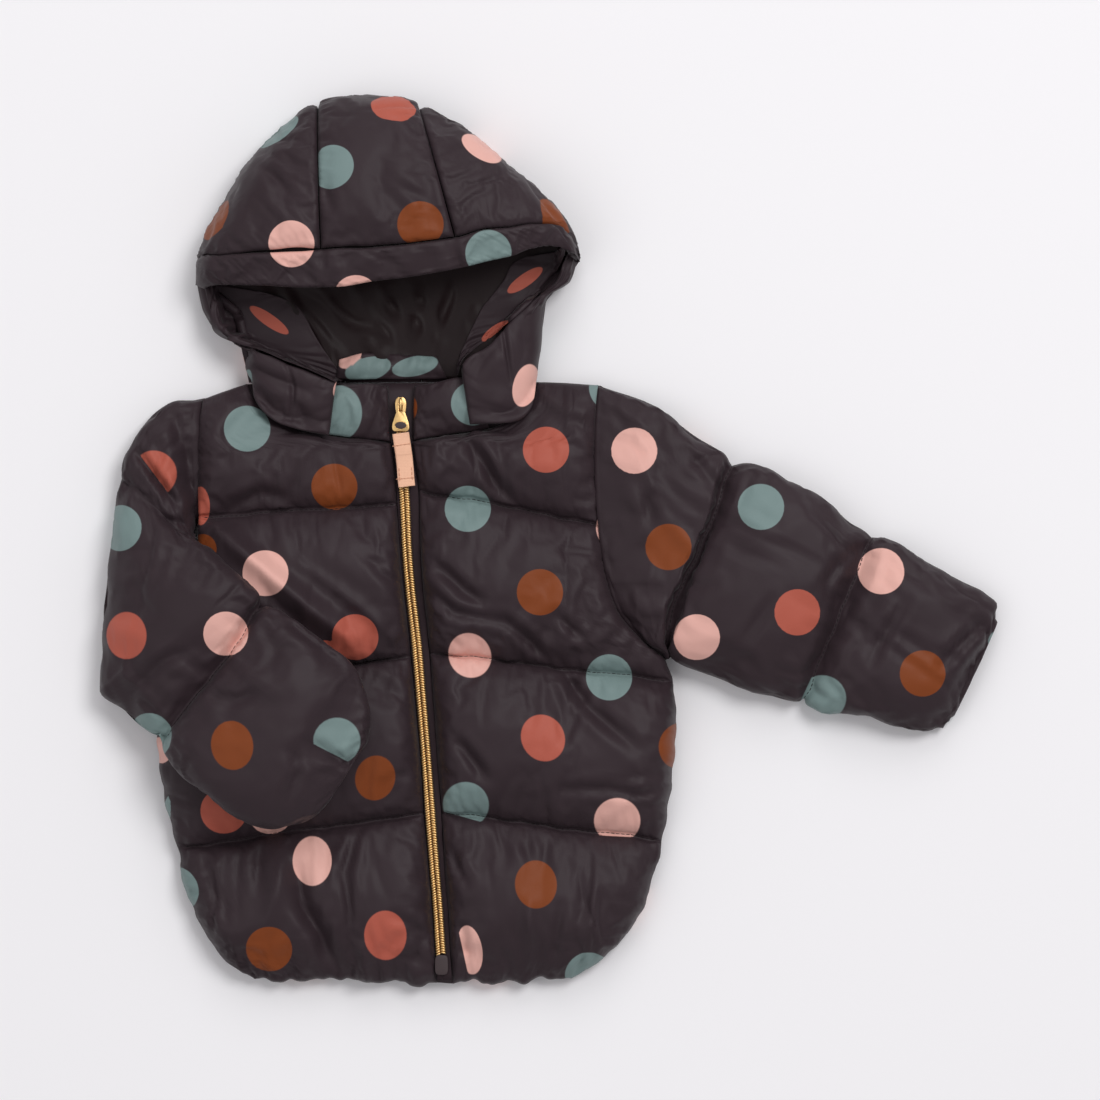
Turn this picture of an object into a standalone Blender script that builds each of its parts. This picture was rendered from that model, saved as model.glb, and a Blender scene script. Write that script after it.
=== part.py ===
"""A baby's hooded puffer jacket, laid on its back with one sleeve out and one folded over the front.

X runs to the right of the picture, Y up it, and Z towards the viewer. The floor is Z = 0. The wearer's
right side lies at -X. Tables are in millimetres in that frame, with one row for each section or fold.
The pieces are built from the floor up: each one that lies on others is raised just clear of them.
"""

import math

import bmesh
import bpy
import numpy as np
from mathutils import Vector
from mathutils.bvhtree import BVHTree

MM = 0.001
NAME = "puffer_jacket"
GAP = 0.5  # between pieces sewn edge to edge, and between layers
CLEAR = 0.45
FRONT_GAP = 0.75  # between the back panel and a front's plain inside

# Heights of the layers
BACK_TOP = 13.0  # inside of the back panel
SEAM_Z = 8.5  # side seam, shoulder and hem
EDGE_WALL = 2.2  # padded wall where it is stitched down
ARMHOLE_WALL = 4.5
ROLL = 7.0  # rounding of the underside's edge
TOP_ROLL = 26.0

# Quilting lines across the fronts, as distance down from the shoulder, and each channel's puff
QUILTING = (0.0, 74.0, 168.0, 264.0, 352.0)
PUFF = (12.5, 16.0, 16.0, 13.0)
CHANNEL_STEPS = (0.0, 0.07, 0.22, 0.41, 0.6, 0.79, 0.93)
PUFF_POWER = 0.6
NECK_DOWNS = (11.0, 23.0, 36.0)  # more rows where the neckline curves

# down, side seam of the right front, its zip edge, zip edge of the left front, its side seam (x, y each)
BODY = np.array((
    (0, -208.2, 84.0, -182.4, 93.0, -7.2, 94.2, 28.8, 92.4),
    (12, -210.0, 71.4, -172.8, 78.0, -13.2, 78.6, 27.6, 79.8),
    (24, -210.6, 60.6, -150.0, 64.8, -36.0, 65.4, 27.0, 66.6),
    (30, -211.2, 55.2, -123.0, 60.0, -57.0, 61.8, 27.0, 60.6),
    (36, -211.2, 49.8, -95.4, 57.0, -82.2, 57.6, 27.0, 54.6),
    (74, -210.6, 13.2, -91.8, 21.0, -78.6, 28.8, 30.0, 8.4),
    (98, -211.8, -12.6, -90.6, -3.6, -77.4, -3.6, 33.6, -17.4),
    (122, -217.2, -39.6, -88.2, -30.6, -75.6, -30.6, 40.8, -42.6),
    (146, -229.2, -63.6, -85.2, -54.6, -73.2, -53.4, 57.0, -62.4),
    (158, -236.4, -79.8, -84.0, -63.6, -72.6, -61.8, 69.0, -72.6),
    (168, -236.4, -90.6, -83.4, -70.2, -72.0, -68.4, 73.2, -85.8),
    (200, -235.8, -117.6, -81.0, -99.6, -69.6, -96.6, 75.0, -111.6),
    (232, -231.6, -150.6, -78.0, -132.6, -67.2, -130.8, 72.6, -147.6),
    (264, -224.4, -185.4, -75.6, -164.4, -64.8, -164.4, 66.6, -181.2),
    (292, -217.8, -211.8, -73.2, -193.8, -63.0, -192.6, 58.2, -214.8),
    (320, -207.0, -235.8, -70.8, -222.6, -60.6, -222.6, 43.2, -239.4),
    (340, -195.6, -250.8, -69.0, -246.6, -59.4, -246.6, 28.8, -253.2),
    (352, -178.0, -264.0, -67.8, -265.9, -58.2, -265.9, 12.0, -264.0),
))
ARMHOLE_ENDS = (148.0, 164.0)  # the seam turns from armhole to side seam between these

# Largest folds of the fronts: start x, y, end x, y, depth, half width
FOLDS = (
    (-204.6, 10.8, -120.0, -60.6, -3.0, 9.0),
    (-150.0, -12.6, -93.0, -60.6, 4.0, 8.0),
    (-195.0, 18.6, -159.0, 23.4, 3.0, 8.0),
    (-150.0, -198.6, -132.0, -258.6, 5.0, 9.0),
    (-51.0, 62.4, -30.0, 29.4, 3.0, 7.0),
    (-69.0, -15.0, -27.0, -49.8, 4.0, 8.0),
    (4.8, -69.0, 49.2, -122.4, 3.5, 8.0),
    (-57.0, -118.2, -37.8, -143.4, 3.0, 8.0),
)

# Left sleeve, laid out: along, shoulder edge x, y, underarm edge x, y, thickness
LEFT_SLEEVE = np.array((
    (0, 29.6, 92.4, 69.6, -72.4, 21),
    (24, 61.8, 80.4, 71.6, -71.8, 31),
    (48, 89.4, 59.4, 73.4, -71.0, 34),
    (66, 104.0, 52.0, 73.0, -69.4, 32),
    (78, 110.4, 47.0, 70.8, -68.0, 24),
    (90, 122.0, 45.2, 76.0, -73.8, 31),
    (112, 144.0, 34.6, 98.0, -83.0, 36),
    (138, 168.0, 21.0, 129.0, -94.0, 34),
    (155, 182.0, 9.0, 146.0, -97.6, 30),
    (165, 195.0, 4.6, 151.2, -99.4, 24),
    (176, 206.0, 0.4, 163.0, -104.2, 30),
    (196, 228.0, -15.0, 186.0, -105.4, 33),
    (216, 248.0, -26.4, 208.0, -112.0, 30),
    (230, 261.0, -33.0, 226.0, -115.2, 25),
    (240, 269.3, -40.4, 236.0, -113.4, 19),
    (246, 269.3, -50.0, 243.0, -106.0, 13),
))
LEFT_ARMHOLE, RIGHT_ARMHOLE = 159.0, 77.0  # how far down the body each sleeve is sewn in sight
ARMHOLE_FADE = 66.0  # the armhole's curve is lost this far along the sleeve
# Right sleeve, folded over the front: along, outer edge x, y, inner edge x, y, thickness,
# height of what it lies on under its outer and its inner edge
RIGHT_SLEEVE = np.array((
    (0, -211.2, 83.4, -212.8, 9.6, 19, 0, 0),
    (10, -223.2, 83.0, -213.4, 6.6, 25, 0, 0),
    (28, -246.0, 65.0, -213.6, 3.4, 30, 0, 1),
    (50, -259.2, 36.6, -213.0, 0.4, 27, 0, 8),
    (75, -263.4, -3.6, -202.8, -6.0, 36, 0, 20),
    (100, -267.6, -48.6, -192.0, -15.6, 38, 0, 27),
    (125, -269.4, -90.6, -180.0, -25.8, 36, 0, 31),
    (138, -256.8, -100.8, -175.8, -30.6, 34, 5, 32),
    (150, -246.0, -110.4, -172.8, -33.6, 30, 14, 33),
    (162, -234.6, -120.6, -169.8, -37.2, 24, 23, 33),
    (174, -229.0, -129.0, -162.0, -42.0, 28, 28, 33),
    (187, -222.0, -138.2, -152.4, -47.4, 32, 30, 33),
    (212, -202.8, -154.4, -133.8, -61.8, 34, 32, 33),
    (232, -184.8, -167.0, -118.8, -75.6, 33, 33, 33),
    (252, -166.8, -171.8, -110.4, -91.8, 30, 33, 33),
    (267, -148.8, -169.2, -107.4, -106.2, 26, 33, 33),
    (280, -135.0, -160.2, -108.6, -119.4, 21, 33, 33),
    (290, -128.2, -149.2, -113.4, -127.2, 15, 33, 33),
    (298, -124.8, -141.2, -119.0, -132.2, 9, 33, 33),
))
SLIT = 0.8  # between the two layers of a flattened sleeve
SLIT_ENDS = 235.0  # the folded sleeve's layers part no further than this
BESIDE_BODY = 48.0  # up to here along, it lies on the floor beside the body

# Hood, as a fan from the brim over the crown to the outline: brim x, y, share of the fan that is the
# brim band, outline x, y
HOOD = np.array((
    (-207.0, 149.4, 1.00, -212.6, 152.4),
    (-196.8, 150.0, 1.00, -211.8, 166.2),
    (-186.0, 150.0, 0.56, -205.8, 184.2),
    (-172.8, 150.0, 0.35, -193.2, 207.0),
    (-159.0, 149.4, 0.25, -175.2, 232.8),
    (-144.6, 148.8, 0.20, -143.4, 260.4),
    (-125.4, 149.4, 0.20, -126.0, 265.6),
    (-106.2, 152.4, 0.18, -110.4, 266.4),
    (-85.2, 154.8, 0.18, -93.6, 265.6),
    (-51.6, 160.8, 0.18, -77.4, 260.6),
    (-37.2, 164.4, 0.23, -51.6, 246.6),
    (-21.0, 168.0, 0.29, -28.2, 227.4),
    (-11.4, 171.6, 0.47, -3.6, 206.4),
    (0.0, 173.4, 0.84, 10.8, 188.4),
    (10.8, 170.4, 1.00, 16.8, 174.0),
    (15.0, 169.2, 1.00, 18.0, 166.2),
))
RIGHT_SEAM, LEFT_SEAM, FAN_END = 5.0, 9.0, 15.0  # the centre panel lies between these two places
BRIM_ENDS_Z, BRIM_Z, CROWN_RISE, CREST_Z = 22.0, 58.0, 8.0, 12.0
CROWN_POWER = 2.4
WAIST = ((-203.0, 131.0), (-2.4, 142.8))  # ends of the hood's under layer a third of the way to the neck
NECK = ((-180.6, 93.7), (-8.4, 94.9))  # its ends at the neck seam
HOOD_WALL, LINING_WALL = 5.0, 1.0
CROWN_SLACK = 2.2  # the lining hangs this far below the crown's padding
UNDER_BRIM = 45.0  # height from which what lies in the hood's opening is seen

# Sides of the hood's opening: outer edge x, y, opening edge x, y, its height, lining seam x, y
RIGHT_FLANK = np.array((
    (-212.0, 145.0, -203.4, 146.4, 21, -176.0, 149.0),
    (-207.0, 135.6, -196.8, 132.6, 24, -162.0, 145.2),
    (-200.4, 125.4, -189.6, 120.6, 27, -151.8, 139.8),
    (-186.6, 116.4, -175.2, 112.2, 29, -146.4, 132.6),
    (-184.2, 103.2, -165.0, 108.6, 31, -142.8, 125.4),
    (-179.4, 87.6, -155.4, 103.8, 33, -138.0, 117.0),
    (-170.4, 75.0, -146.4, 100.8, 34, -133.2, 109.8),
    (-161.4, 69.0, -139.2, 97.8, 35, -129.0, 103.8),
    (-145.2, 64.2, -132.6, 95.4, 35, -125.4, 99.0),
    (-132.0, 61.8, -127.8, 93.6, 34, -123.0, 95.4),
))
LEFT_FLANK = np.array((
    (17.4, 163.0, 12.6, 166.0, 21, -12.0, 170.4),
    (12.0, 154.8, 3.6, 154.2, 24, -22.8, 165.0),
    (-2.4, 144.0, -7.2, 145.2, 27, -27.0, 156.6),
    (-4.2, 136.2, -15.0, 138.6, 29, -31.2, 150.6),
    (-4.8, 127.8, -22.8, 131.4, 31, -36.0, 144.6),
    (-5.4, 116.4, -28.2, 124.2, 32, -40.8, 138.6),
    (-7.2, 105.0, -34.2, 117.6, 33, -44.4, 131.4),
    (-8.4, 92.4, -39.6, 113.4, 34, -48.0, 124.2),
    (-11.4, 78.6, -45.6, 110.4, 34, -51.0, 117.6),
    (-18.0, 71.4, -49.8, 107.4, 34, -53.4, 112.2),
    (-30.0, 69.0, -52.2, 104.4, 34, -54.6, 108.6),
    (-48.0, 68.4, -53.4, 102.6, 33, -55.8, 105.6),
))
FLANK_WALL, FACING_WALL = 4.0, 1.5
BAND_END = 0.62  # share of a chin flap that is side panel; the rest is the end of the brim band
BAND_END_FROM = 0.45  # the band's end shows from here down the flank

# Collar: how far down the front's edge it is sewn, and its top edge x, y
RIGHT_COLLAR = np.array((
    (21.0, -139.2, 87.6),
    (28.0, -126.0, 92.4),
    (32.5, -109.2, 93.6),
    (35.6, -97.0, 91.8),
))
LEFT_COLLAR = np.array((
    (35.6, -81.6, 91.8),
    (32.5, -67.6, 94.2),
    (28.0, -54.0, 97.0),
    (24.0, -45.6, 96.0),
))
COLLAR_WALL, COLLAR_PUFF = 3.6, 8.0
NECK_GAP = 0.03  # of the collar's height, at its seam
# Inside of the neck at the back: lower edge x, y, upper edge x, y
BACK_COLLAR = np.array((
    (-128.4, 96.6, -126.6, 108.0),
    (-105.0, 96.0, -105.6, 111.6),
    (-84.0, 96.0, -84.6, 110.4),
    (-62.0, 96.6, -68.4, 109.8),
))

# Zip
TAPE_Z, TAPE_THICK = 15.2, 1.0
CHAIN_Z, CHAIN_THICK, CHAIN_WIDE = 16.5, 2.2, 6.0
CHAIN_SHARE = 0.36  # place of the teeth across the gap between the fronts
CHAIN_TOP_Y, STOP_LONG = 75.0, 7.0
SLIDER_X, SLIDER_Y = -89.4, 79.0
SLIDER_WIDE, SLIDER_LONG, PLATE_THICK, FLANGE = 9.2, 12.0, 1.2, 1.1
BRIDGE_WIDE, BRIDGE_LONG, BRIDGE_TALL, BRIDGE_BAR = 1.5, 7.2, 3.4, 1.0
PIN_RADIUS, PIN_CLEAR, PULL_Y = 0.6, 0.35, 80.6
ARM_GAP, ARM_WIDE, ARM_LONG = 0.35, 1.3, 6.0
PULLER_TOP, PULLER_WIDE, PULLER_LONG, PULLER_THICK = 6.4, 11.4, 10.6, 1.0
RIBBON_WIDE, RIBBON_LONG, RIBBON_THICK, RIBBON_LEAN = 10.0, 32.0, 1.2, 4.2

# name: colour, roughness, metallic
FINISHES = {
    "shell": ((0.042, 0.032, 0.034), 0.45, 0.0),
    "lining": ((0.024, 0.016, 0.015), 0.5, 0.0),
    "tape": ((0.03, 0.024, 0.024), 0.85, 0.0),
    "brass": ((0.52, 0.31, 0.08), 0.32, 1.0),
    "ribbon": ((0.75, 0.43, 0.3), 0.6, 0.0),
    "dark_metal": ((0.03, 0.025, 0.025), 0.4, 0.8),
}


def clear_scene():
    for thing in list(bpy.data.objects):
        bpy.data.objects.remove(thing, do_unlink=True)


def finish(name):
    """The named material, made once."""
    found = bpy.data.materials.get(name)
    if found:
        return found
    colour, roughness, metallic = FINISHES[name]
    made = bpy.data.materials.new(name)
    made.use_nodes = True
    shader = made.node_tree.nodes["Principled BSDF"]
    shader.inputs["Base Color"].default_value = (*colour, 1.0)
    shader.inputs["Roughness"].default_value = roughness
    shader.inputs["Metallic"].default_value = metallic
    return made


# ---------------------------------------------------------------- curves and profiles

def smooth_rows(table, steps, along=None):
    """The table's rows read as smooth curves that never overshoot, at the given places along it."""
    knots = np.arange(len(table), dtype=float) if along is None else np.asarray(along, float)
    table = np.asarray(table, float)
    steps = np.clip(np.asarray(steps, float), knots[0], knots[-1])
    rise = np.diff(table, axis=0) / np.diff(knots)[:, None]
    slope = np.concatenate((rise[:1], np.zeros_like(rise[1:]), rise[-1:]))
    same_way = rise[1:] * rise[:-1] > 0
    slope[1:-1][same_way] = (2 * rise[1:] * rise[:-1])[same_way] / (rise[1:] + rise[:-1])[same_way]
    i = np.clip(np.searchsorted(knots, steps, "right") - 1, 0, len(knots) - 2)
    span = (knots[i + 1] - knots[i])[:, None]
    t = (steps - knots[i])[:, None] / span
    return ((2 * t**3 - 3 * t**2 + 1) * table[i] + (t**3 - 2 * t**2 + t) * span * slope[i]
            + (3 * t**2 - 2 * t**3) * table[i + 1] + (t**3 - t**2) * span * slope[i + 1])


def round_over(distance, radius):
    """0 at an edge, rising as a quarter circle to 1 at the radius."""
    inside = 1 - np.clip(np.asarray(distance, float) / radius, 0, 1)
    return np.sqrt(1 - inside**2)


def blend(start, end, share):
    return start + (end - start) * share


def channel_puff(down):
    """Height of the padding between the quilting lines, by distance down from the shoulder."""
    k = min(max(np.searchsorted(QUILTING, down, "right") - 1, 0), len(PUFF) - 1)
    share = (down - QUILTING[k]) / (QUILTING[k + 1] - QUILTING[k])
    return PUFF[k] * max(math.sin(math.pi * min(max(share, 0), 1)), 0.0) ** PUFF_POWER


def fold_depth(x, y):
    """How far the folds press the surface in here; a fold that stands up is negative."""
    depth = 0.0
    for x0, y0, x1, y1, deep, wide in FOLDS:
        length2 = (x1 - x0) ** 2 + (y1 - y0) ** 2
        t = min(max(((x - x0) * (x1 - x0) + (y - y0) * (y1 - y0)) / length2, 0), 1)
        away2 = (x - x0 - t * (x1 - x0)) ** 2 + (y - y0 - t * (y1 - y0)) ** 2
        depth += deep * math.exp(-away2 / wide**2) * math.sin(math.pi * (0.15 + 0.7 * t))
    return depth


# ---------------------------------------------------------------- closed walls

def add_mesh(name, points, faces, material):
    """A closed mesh from points in millimetres, with its faces turned outwards."""
    mesh = bpy.data.meshes.new(name)
    solid = bmesh.new()
    corners = [solid.verts.new(Vector(p) * MM) for p in points]
    for face in faces:
        solid.faces.new([corners[k] for k in face])
    bmesh.ops.recalc_face_normals(solid, faces=solid.faces)
    if solid.calc_volume(signed=True) < 0:
        bmesh.ops.reverse_faces(solid, faces=solid.faces)
    solid.to_mesh(mesh)
    solid.free()
    mesh.materials.append(finish(material))
    for polygon in mesh.polygons:
        polygon.use_smooth = True
    thing = bpy.data.objects.new(name, mesh)
    bpy.data.collections[NAME].objects.link(thing)
    return thing


def wall(name, outer, inner, material="shell"):
    """A wall between two grids of points with the same rows and columns, closed round its rim."""
    outer, inner = np.asarray(outer, float), np.asarray(inner, float)
    rows, columns = outer.shape[:2]
    index = np.arange(rows * columns).reshape(rows, columns)
    under = index + rows * columns
    faces = []
    for layer, turn in ((index, 1), (under, -1)):
        for i in range(rows - 1):
            for j in range(columns - 1):
                quad = (layer[i, j], layer[i + 1, j], layer[i + 1, j + 1], layer[i, j + 1])
                faces.append(quad[::turn])
    rim = [(0, j) for j in range(columns)] + [(i, columns - 1) for i in range(1, rows)]
    rim += [(rows - 1, j) for j in range(columns - 2, -1, -1)] + [(i, 0) for i in range(rows - 2, 0, -1)]
    for here, there in zip(rim, rim[1:] + rim[:1]):
        faces.append((index[here], index[there], under[there], under[here]))
    points = np.concatenate((outer.reshape(-1, 3), inner.reshape(-1, 3)))
    return add_mesh(name, points, faces, material)


def flat_tube(name, outer, inner, open_far_end, material="shell"):
    """A flattened tube: rings of points, upper half then lower half, round a slit of its own rings."""
    around = outer.shape[1]
    half = around // 2
    outside = np.arange(outer.shape[0] * around).reshape(-1, around)
    inside = np.arange(inner.shape[0] * around).reshape(-1, around) + outside.size
    faces = []
    for rings, turn in ((outside, 1), (inside, -1)):
        for i in range(len(rings) - 1):
            for j in range(around):
                k = (j + 1) % around
                faces.append((rings[i, j], rings[i, k], rings[i + 1, k], rings[i + 1, j])[::turn])
    ends = [0, -1] if open_far_end else [0]
    for end in ends:
        for j in range(around):
            k = (j + 1) % around
            faces.append((outside[end, j], outside[end, k], inside[end, k], inside[end, j]))
    if not open_far_end:
        for rings in (outside, inside):
            last = rings[-1]
            for j in range(half):
                low, low_next = last[-j % around], last[-(j + 1) % around]
                corners = list(dict.fromkeys((last[j], last[j + 1], low_next, low)))
                faces.append(corners)
    points = np.concatenate((outer.reshape(-1, 3), inner.reshape(-1, 3)))
    return add_mesh(name, points, faces, material)


class Layers:
    """The upper surface of the pieces laid so far."""

    def __init__(self):
        self.trees = []

    def add(self, *things):
        for thing in things:
            solid = bmesh.new()
            solid.from_mesh(thing.data)
            self.trees.append(BVHTree.FromBMesh(solid))
            solid.free()

    def height(self, x, y, reach, seen_from=300.0):
        """Highest point of the pieces within reach of here, below the height that they are seen from."""
        top = 0.0
        down = Vector((0, 0, -1))
        for radius, turns in ((0.0, 1), (reach / 3, 8), (reach * 2 / 3, 12), (reach, 16)):
            for k in range(turns):
                angle = 2 * math.pi * k / turns
                start = Vector((x + radius * math.cos(angle), y + radius * math.sin(angle), seen_from)) * MM
                for tree in self.trees:
                    hit = tree.ray_cast(start, down)[0]
                    if hit is not None:
                        top = max(top, hit.z / MM)
        return top


# ---------------------------------------------------------------- body

def body_downs():
    """Rows down the body, closer together beside each quilting line."""
    downs = [blend(QUILTING[k], QUILTING[k + 1], step)
             for k in range(len(PUFF)) for step in CHANNEL_STEPS]
    return np.array(sorted(downs + list(NECK_DOWNS) + [QUILTING[-1]]))


def armhole_share(down):
    start, end = ARMHOLE_ENDS
    return 1 - np.clip((down - start) / (end - start), 0, 1)


def inside_height(down, from_side):
    """Upper side of the back panel, falling to the seams."""
    side = blend(round_over(from_side, TOP_ROLL), 1.0, armhole_share(down))
    ends = round_over(down, 18.0) * round_over(QUILTING[-1] - down, 16.0)
    return SEAM_Z + (BACK_TOP - SEAM_Z) * side * ends


def under_height(down, from_side, to_neck):
    """Underside of the back panel: flat on the floor, rounded up at its free edges but not at the neck."""
    side = (1 - round_over(from_side, ROLL)) * (1 - armhole_share(down))
    shoulder = (1 - round_over(down, ROLL)) * (1 - to_neck)
    hem = 1 - round_over(QUILTING[-1] - down, ROLL)
    free = max(side, shoulder, hem)
    return free * (SEAM_Z - EDGE_WALL)


SIDE_STEPS = (0.0, 2.5, 7.0, 15.0, 28.0)


def back_panel():
    """One wall from side to side, flat underneath."""
    upper, under = [], []
    for row, down in zip(smooth_rows(BODY[:, 1:], body_downs(), BODY[:, 0]), body_downs()):
        right, neck_right, neck_left, left = row.reshape(4, 2)
        top, low = [], []
        for start, end, outwards in ((right, neck_right, 1), (neck_left, left, -1)):
            width = np.linalg.norm(end - start)
            shares = [d / width for d in SIDE_STEPS]
            shares += [blend(shares[-1], 1.0, k / 4) for k in range(1, 5)]
            if outwards < 0:
                shares = [1 - s for s in reversed(shares)]
            for share in shares:
                x, y = blend(start, end, share)
                from_side = width * (share if outwards > 0 else 1 - share)
                top.append((x, y, inside_height(down, from_side)))
                low.append((x, y, under_height(down, from_side, from_side / width)))
        upper.append(top)
        under.append(low)
    return wall("back_panel", upper, under)


def front(name, side_column, edge_column):
    """One front: a plain inside that lies on the back, and channels raised in its outside."""
    outer, inner = [], []
    for row, down in zip(smooth_rows(BODY[:, 1:], body_downs(), BODY[:, 0]), body_downs()):
        side, edge = row[side_column:side_column + 2], row[edge_column:edge_column + 2]
        width = np.linalg.norm(edge - side)
        shares = [d / width for d in SIDE_STEPS]
        shares += [blend(shares[-1], 1 - 12 / width, k / 5) for k in range(1, 6)]
        shares += [1 - 6 / width, 1 - 2 / width, 1.0]
        top, low = [], []
        for share in shares:
            x, y = blend(side, edge, share)
            from_side, from_edge = width * share, width * (1 - share)
            z = inside_height(down, from_side) + FRONT_GAP
            stitched = blend(EDGE_WALL, ARMHOLE_WALL, armhole_share(down) * (1 - min(from_side / 20, 1)))
            padding = channel_puff(down) * round_over(from_side, 22.0) * round_over(from_edge, 14.0)
            thick = stitched + padding
            thick = max(thick - fold_depth(x, y) * min(padding / 8, 1), EDGE_WALL)
            low.append((x, y, z))
            top.append((x, y, z + thick))
        outer.append(top)
        inner.append(low)
    return wall(name, outer, inner)


# ---------------------------------------------------------------- sleeves

ACROSS = 10  # faces across each half of a sleeve's ring


def ring_shares():
    return [(1 - math.cos(math.pi * k / ACROSS)) / 2 for k in range(ACROSS + 1)]


def armhole_curve(side_column, reach, outwards):
    """Places on the armhole seam, just off the body, by share of its length in sight."""
    shares = np.array(ring_shares())
    seam = smooth_rows(BODY[:, 1:], shares * reach, BODY[:, 0])[:, side_column:side_column + 2]
    along = np.gradient(seam, axis=0)
    along /= np.linalg.norm(along, axis=1)[:, None]
    return seam + np.stack((-along[:, 1], along[:, 0]), axis=1) * outwards * (GAP + 0.2)


def sleeve_ring(edges, bend, thick, base_outer, base_inner, resting):
    """Points round a flattened sleeve, and round the slit inside it."""
    outer_edge, inner_edge = edges
    width = np.linalg.norm(inner_edge - outer_edge)
    shares = ring_shares()
    around, slit = [], []
    upper = [(k, 1) for k in range(ACROSS + 1)]
    lower = [(k, -1) for k in range(ACROSS - 1, 0, -1)]
    for k, face in upper + lower:
        share = shares[k]
        x, y = blend(outer_edge, inner_edge, share) + bend[k]
        full = (1 - abs(2 * share - 1) ** 2.6) ** (1 / 2.6)
        middle = blend(base_outer, base_inner, share) + 0.42 * thick
        floor = resting(x, y)
        if face > 0:
            z = max(middle + 0.58 * thick * full, floor + 0.5 * thick * full)
        else:
            near_edge = 1 - round_over(min(share, 1 - share) * width, ROLL)
            z = blend(floor, max(middle, floor), near_edge)
        around.append((x, y, z))
        x, y = blend(outer_edge, inner_edge, blend(0.08, 0.92, share)) + bend[k]
        parted = face * SLIT / 2 if 0 < k < ACROSS else 0.0
        slit.append((x, y, max(middle, floor + 4.0) + parted))
    return around, slit


def sleeve_rings(table, steps, side_column, reach, outwards, resting_at):
    """All of a sleeve's rings; the first follows the armhole."""
    seam = armhole_curve(side_column, reach, outwards)
    straight = [blend(seam[0], seam[-1], share) for share in ring_shares()]
    outer, inner = [], []
    for step, row in zip(steps, smooth_rows(table[:, 1:], steps, table[:, 0])):
        edges = [row[0:2], row[2:4]]
        if step == 0:
            edges = [seam[0], seam[-1]]
        bend = (seam - straight) * max(1 - step / ARMHOLE_FADE, 0) ** 1.5
        bases = row[5:7] if len(row) > 5 else (0.0, 0.0)
        ring, slit = sleeve_ring(edges, bend, row[4], *bases, resting_at(step))
        outer.append(ring)
        inner.append(slit)
    return np.array(outer), np.array(inner)


def left_sleeve():
    steps = np.linspace(0, LEFT_SLEEVE[-1, 0], 23)
    rings = sleeve_rings(LEFT_SLEEVE, steps, 6, LEFT_ARMHOLE, 1, lambda step: lambda x, y: 0.0)
    return flat_tube("left_sleeve", *rings, True)


def right_sleeve(layers):
    """Folded over the front: raised clear of the body wherever it lies on it."""
    def resting_at(step):
        def resting(x, y):
            height = 0.0 if step < BESIDE_BODY else layers.height(x, y, 18.0)
            return height + CLEAR + 0.3 if height > 0 else 0.0
        return resting

    steps = np.linspace(0, RIGHT_SLEEVE[-1, 0], 28)
    outer, inner = sleeve_rings(RIGHT_SLEEVE, steps, 0, RIGHT_ARMHOLE, -1, resting_at)
    return flat_tube("right_sleeve", outer, inner[steps <= SLIT_ENDS], False)


# ---------------------------------------------------------------- hood

def hood_side(end, t):
    """Edge of the hood's under layer, from the crown's outline (t = 0) to the neck (t = 1)."""
    crest = HOOD[-end, 3:5]
    if t <= 0.5:
        return blend(crest, np.array(WAIST[end]), 2 * t)
    return blend(np.array(WAIST[end]), np.array(NECK[end]), 2 * t - 1)


def hood_point(fan, down):
    """A place on the hood's outside: down runs from brim (0) over the crown's edge (1) to the neck (2)."""
    brim_x, brim_y, _, crest_x, crest_y = smooth_rows(HOOD, [fan])[0]
    across = fan / FAN_END
    arch = max(math.sin(math.pi * across), 0.0) ** 0.5
    if down <= 1:
        x, y = blend(brim_x, crest_x, down), blend(brim_y, crest_y, down)
        brim_z = blend(BRIM_ENDS_Z, BRIM_Z, arch)
        z = CREST_Z + (brim_z - CREST_Z) * (1 - down**CROWN_POWER) ** (1 / CROWN_POWER)
        return Vector((x, y, z + CROWN_RISE * arch * math.sin(math.pi * down)))
    t = down - 1
    waist, neck = (blend(np.array(line[0]), np.array(line[1]), across) for line in (WAIST, NECK))
    crest = np.array((crest_x, crest_y))
    x, y = blend(crest, waist, 2 * t) if t <= 0.5 else blend(waist, neck, 2 * t - 1)
    rolled = math.hypot(x - crest_x, y - crest_y)
    from_side = min(np.linalg.norm(hood_side(end, t) - (x, y)) for end in (0, 1))
    lift = 1 - float(round_over(min(rolled, from_side), CREST_Z))
    return Vector((x, y, CREST_Z * lift))


def hood_normal(fan, down):
    """Outward direction of the hood's outside."""
    e = 0.02
    fan0, fan1 = max(fan - e, 0), min(fan + e, FAN_END)
    down0, down1 = max(down - e, 0), min(down + e, 2)
    across = hood_point(fan1, down) - hood_point(fan0, down)
    along = hood_point(fan, down1) - hood_point(fan, down0)
    normal = across.cross(along)
    return normal.normalized()


def hood_wall(name, fans, downs_at, deep_from, deep_to, material):
    """Part of the hood's wall, between two depths below its outside."""
    outer, inner = [], []
    for row in range(len(downs_at(fans[0]))):
        top, low = [], []
        for fan in fans:
            down = downs_at(fan)[row]
            point, normal = hood_point(fan, down), hood_normal(fan, down)
            top.append(point - normal * deep_from(down))
            low.append(point - normal * deep_to(down))
        outer.append(top)
        inner.append(low)
    return wall(name, outer, inner, material)


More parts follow.
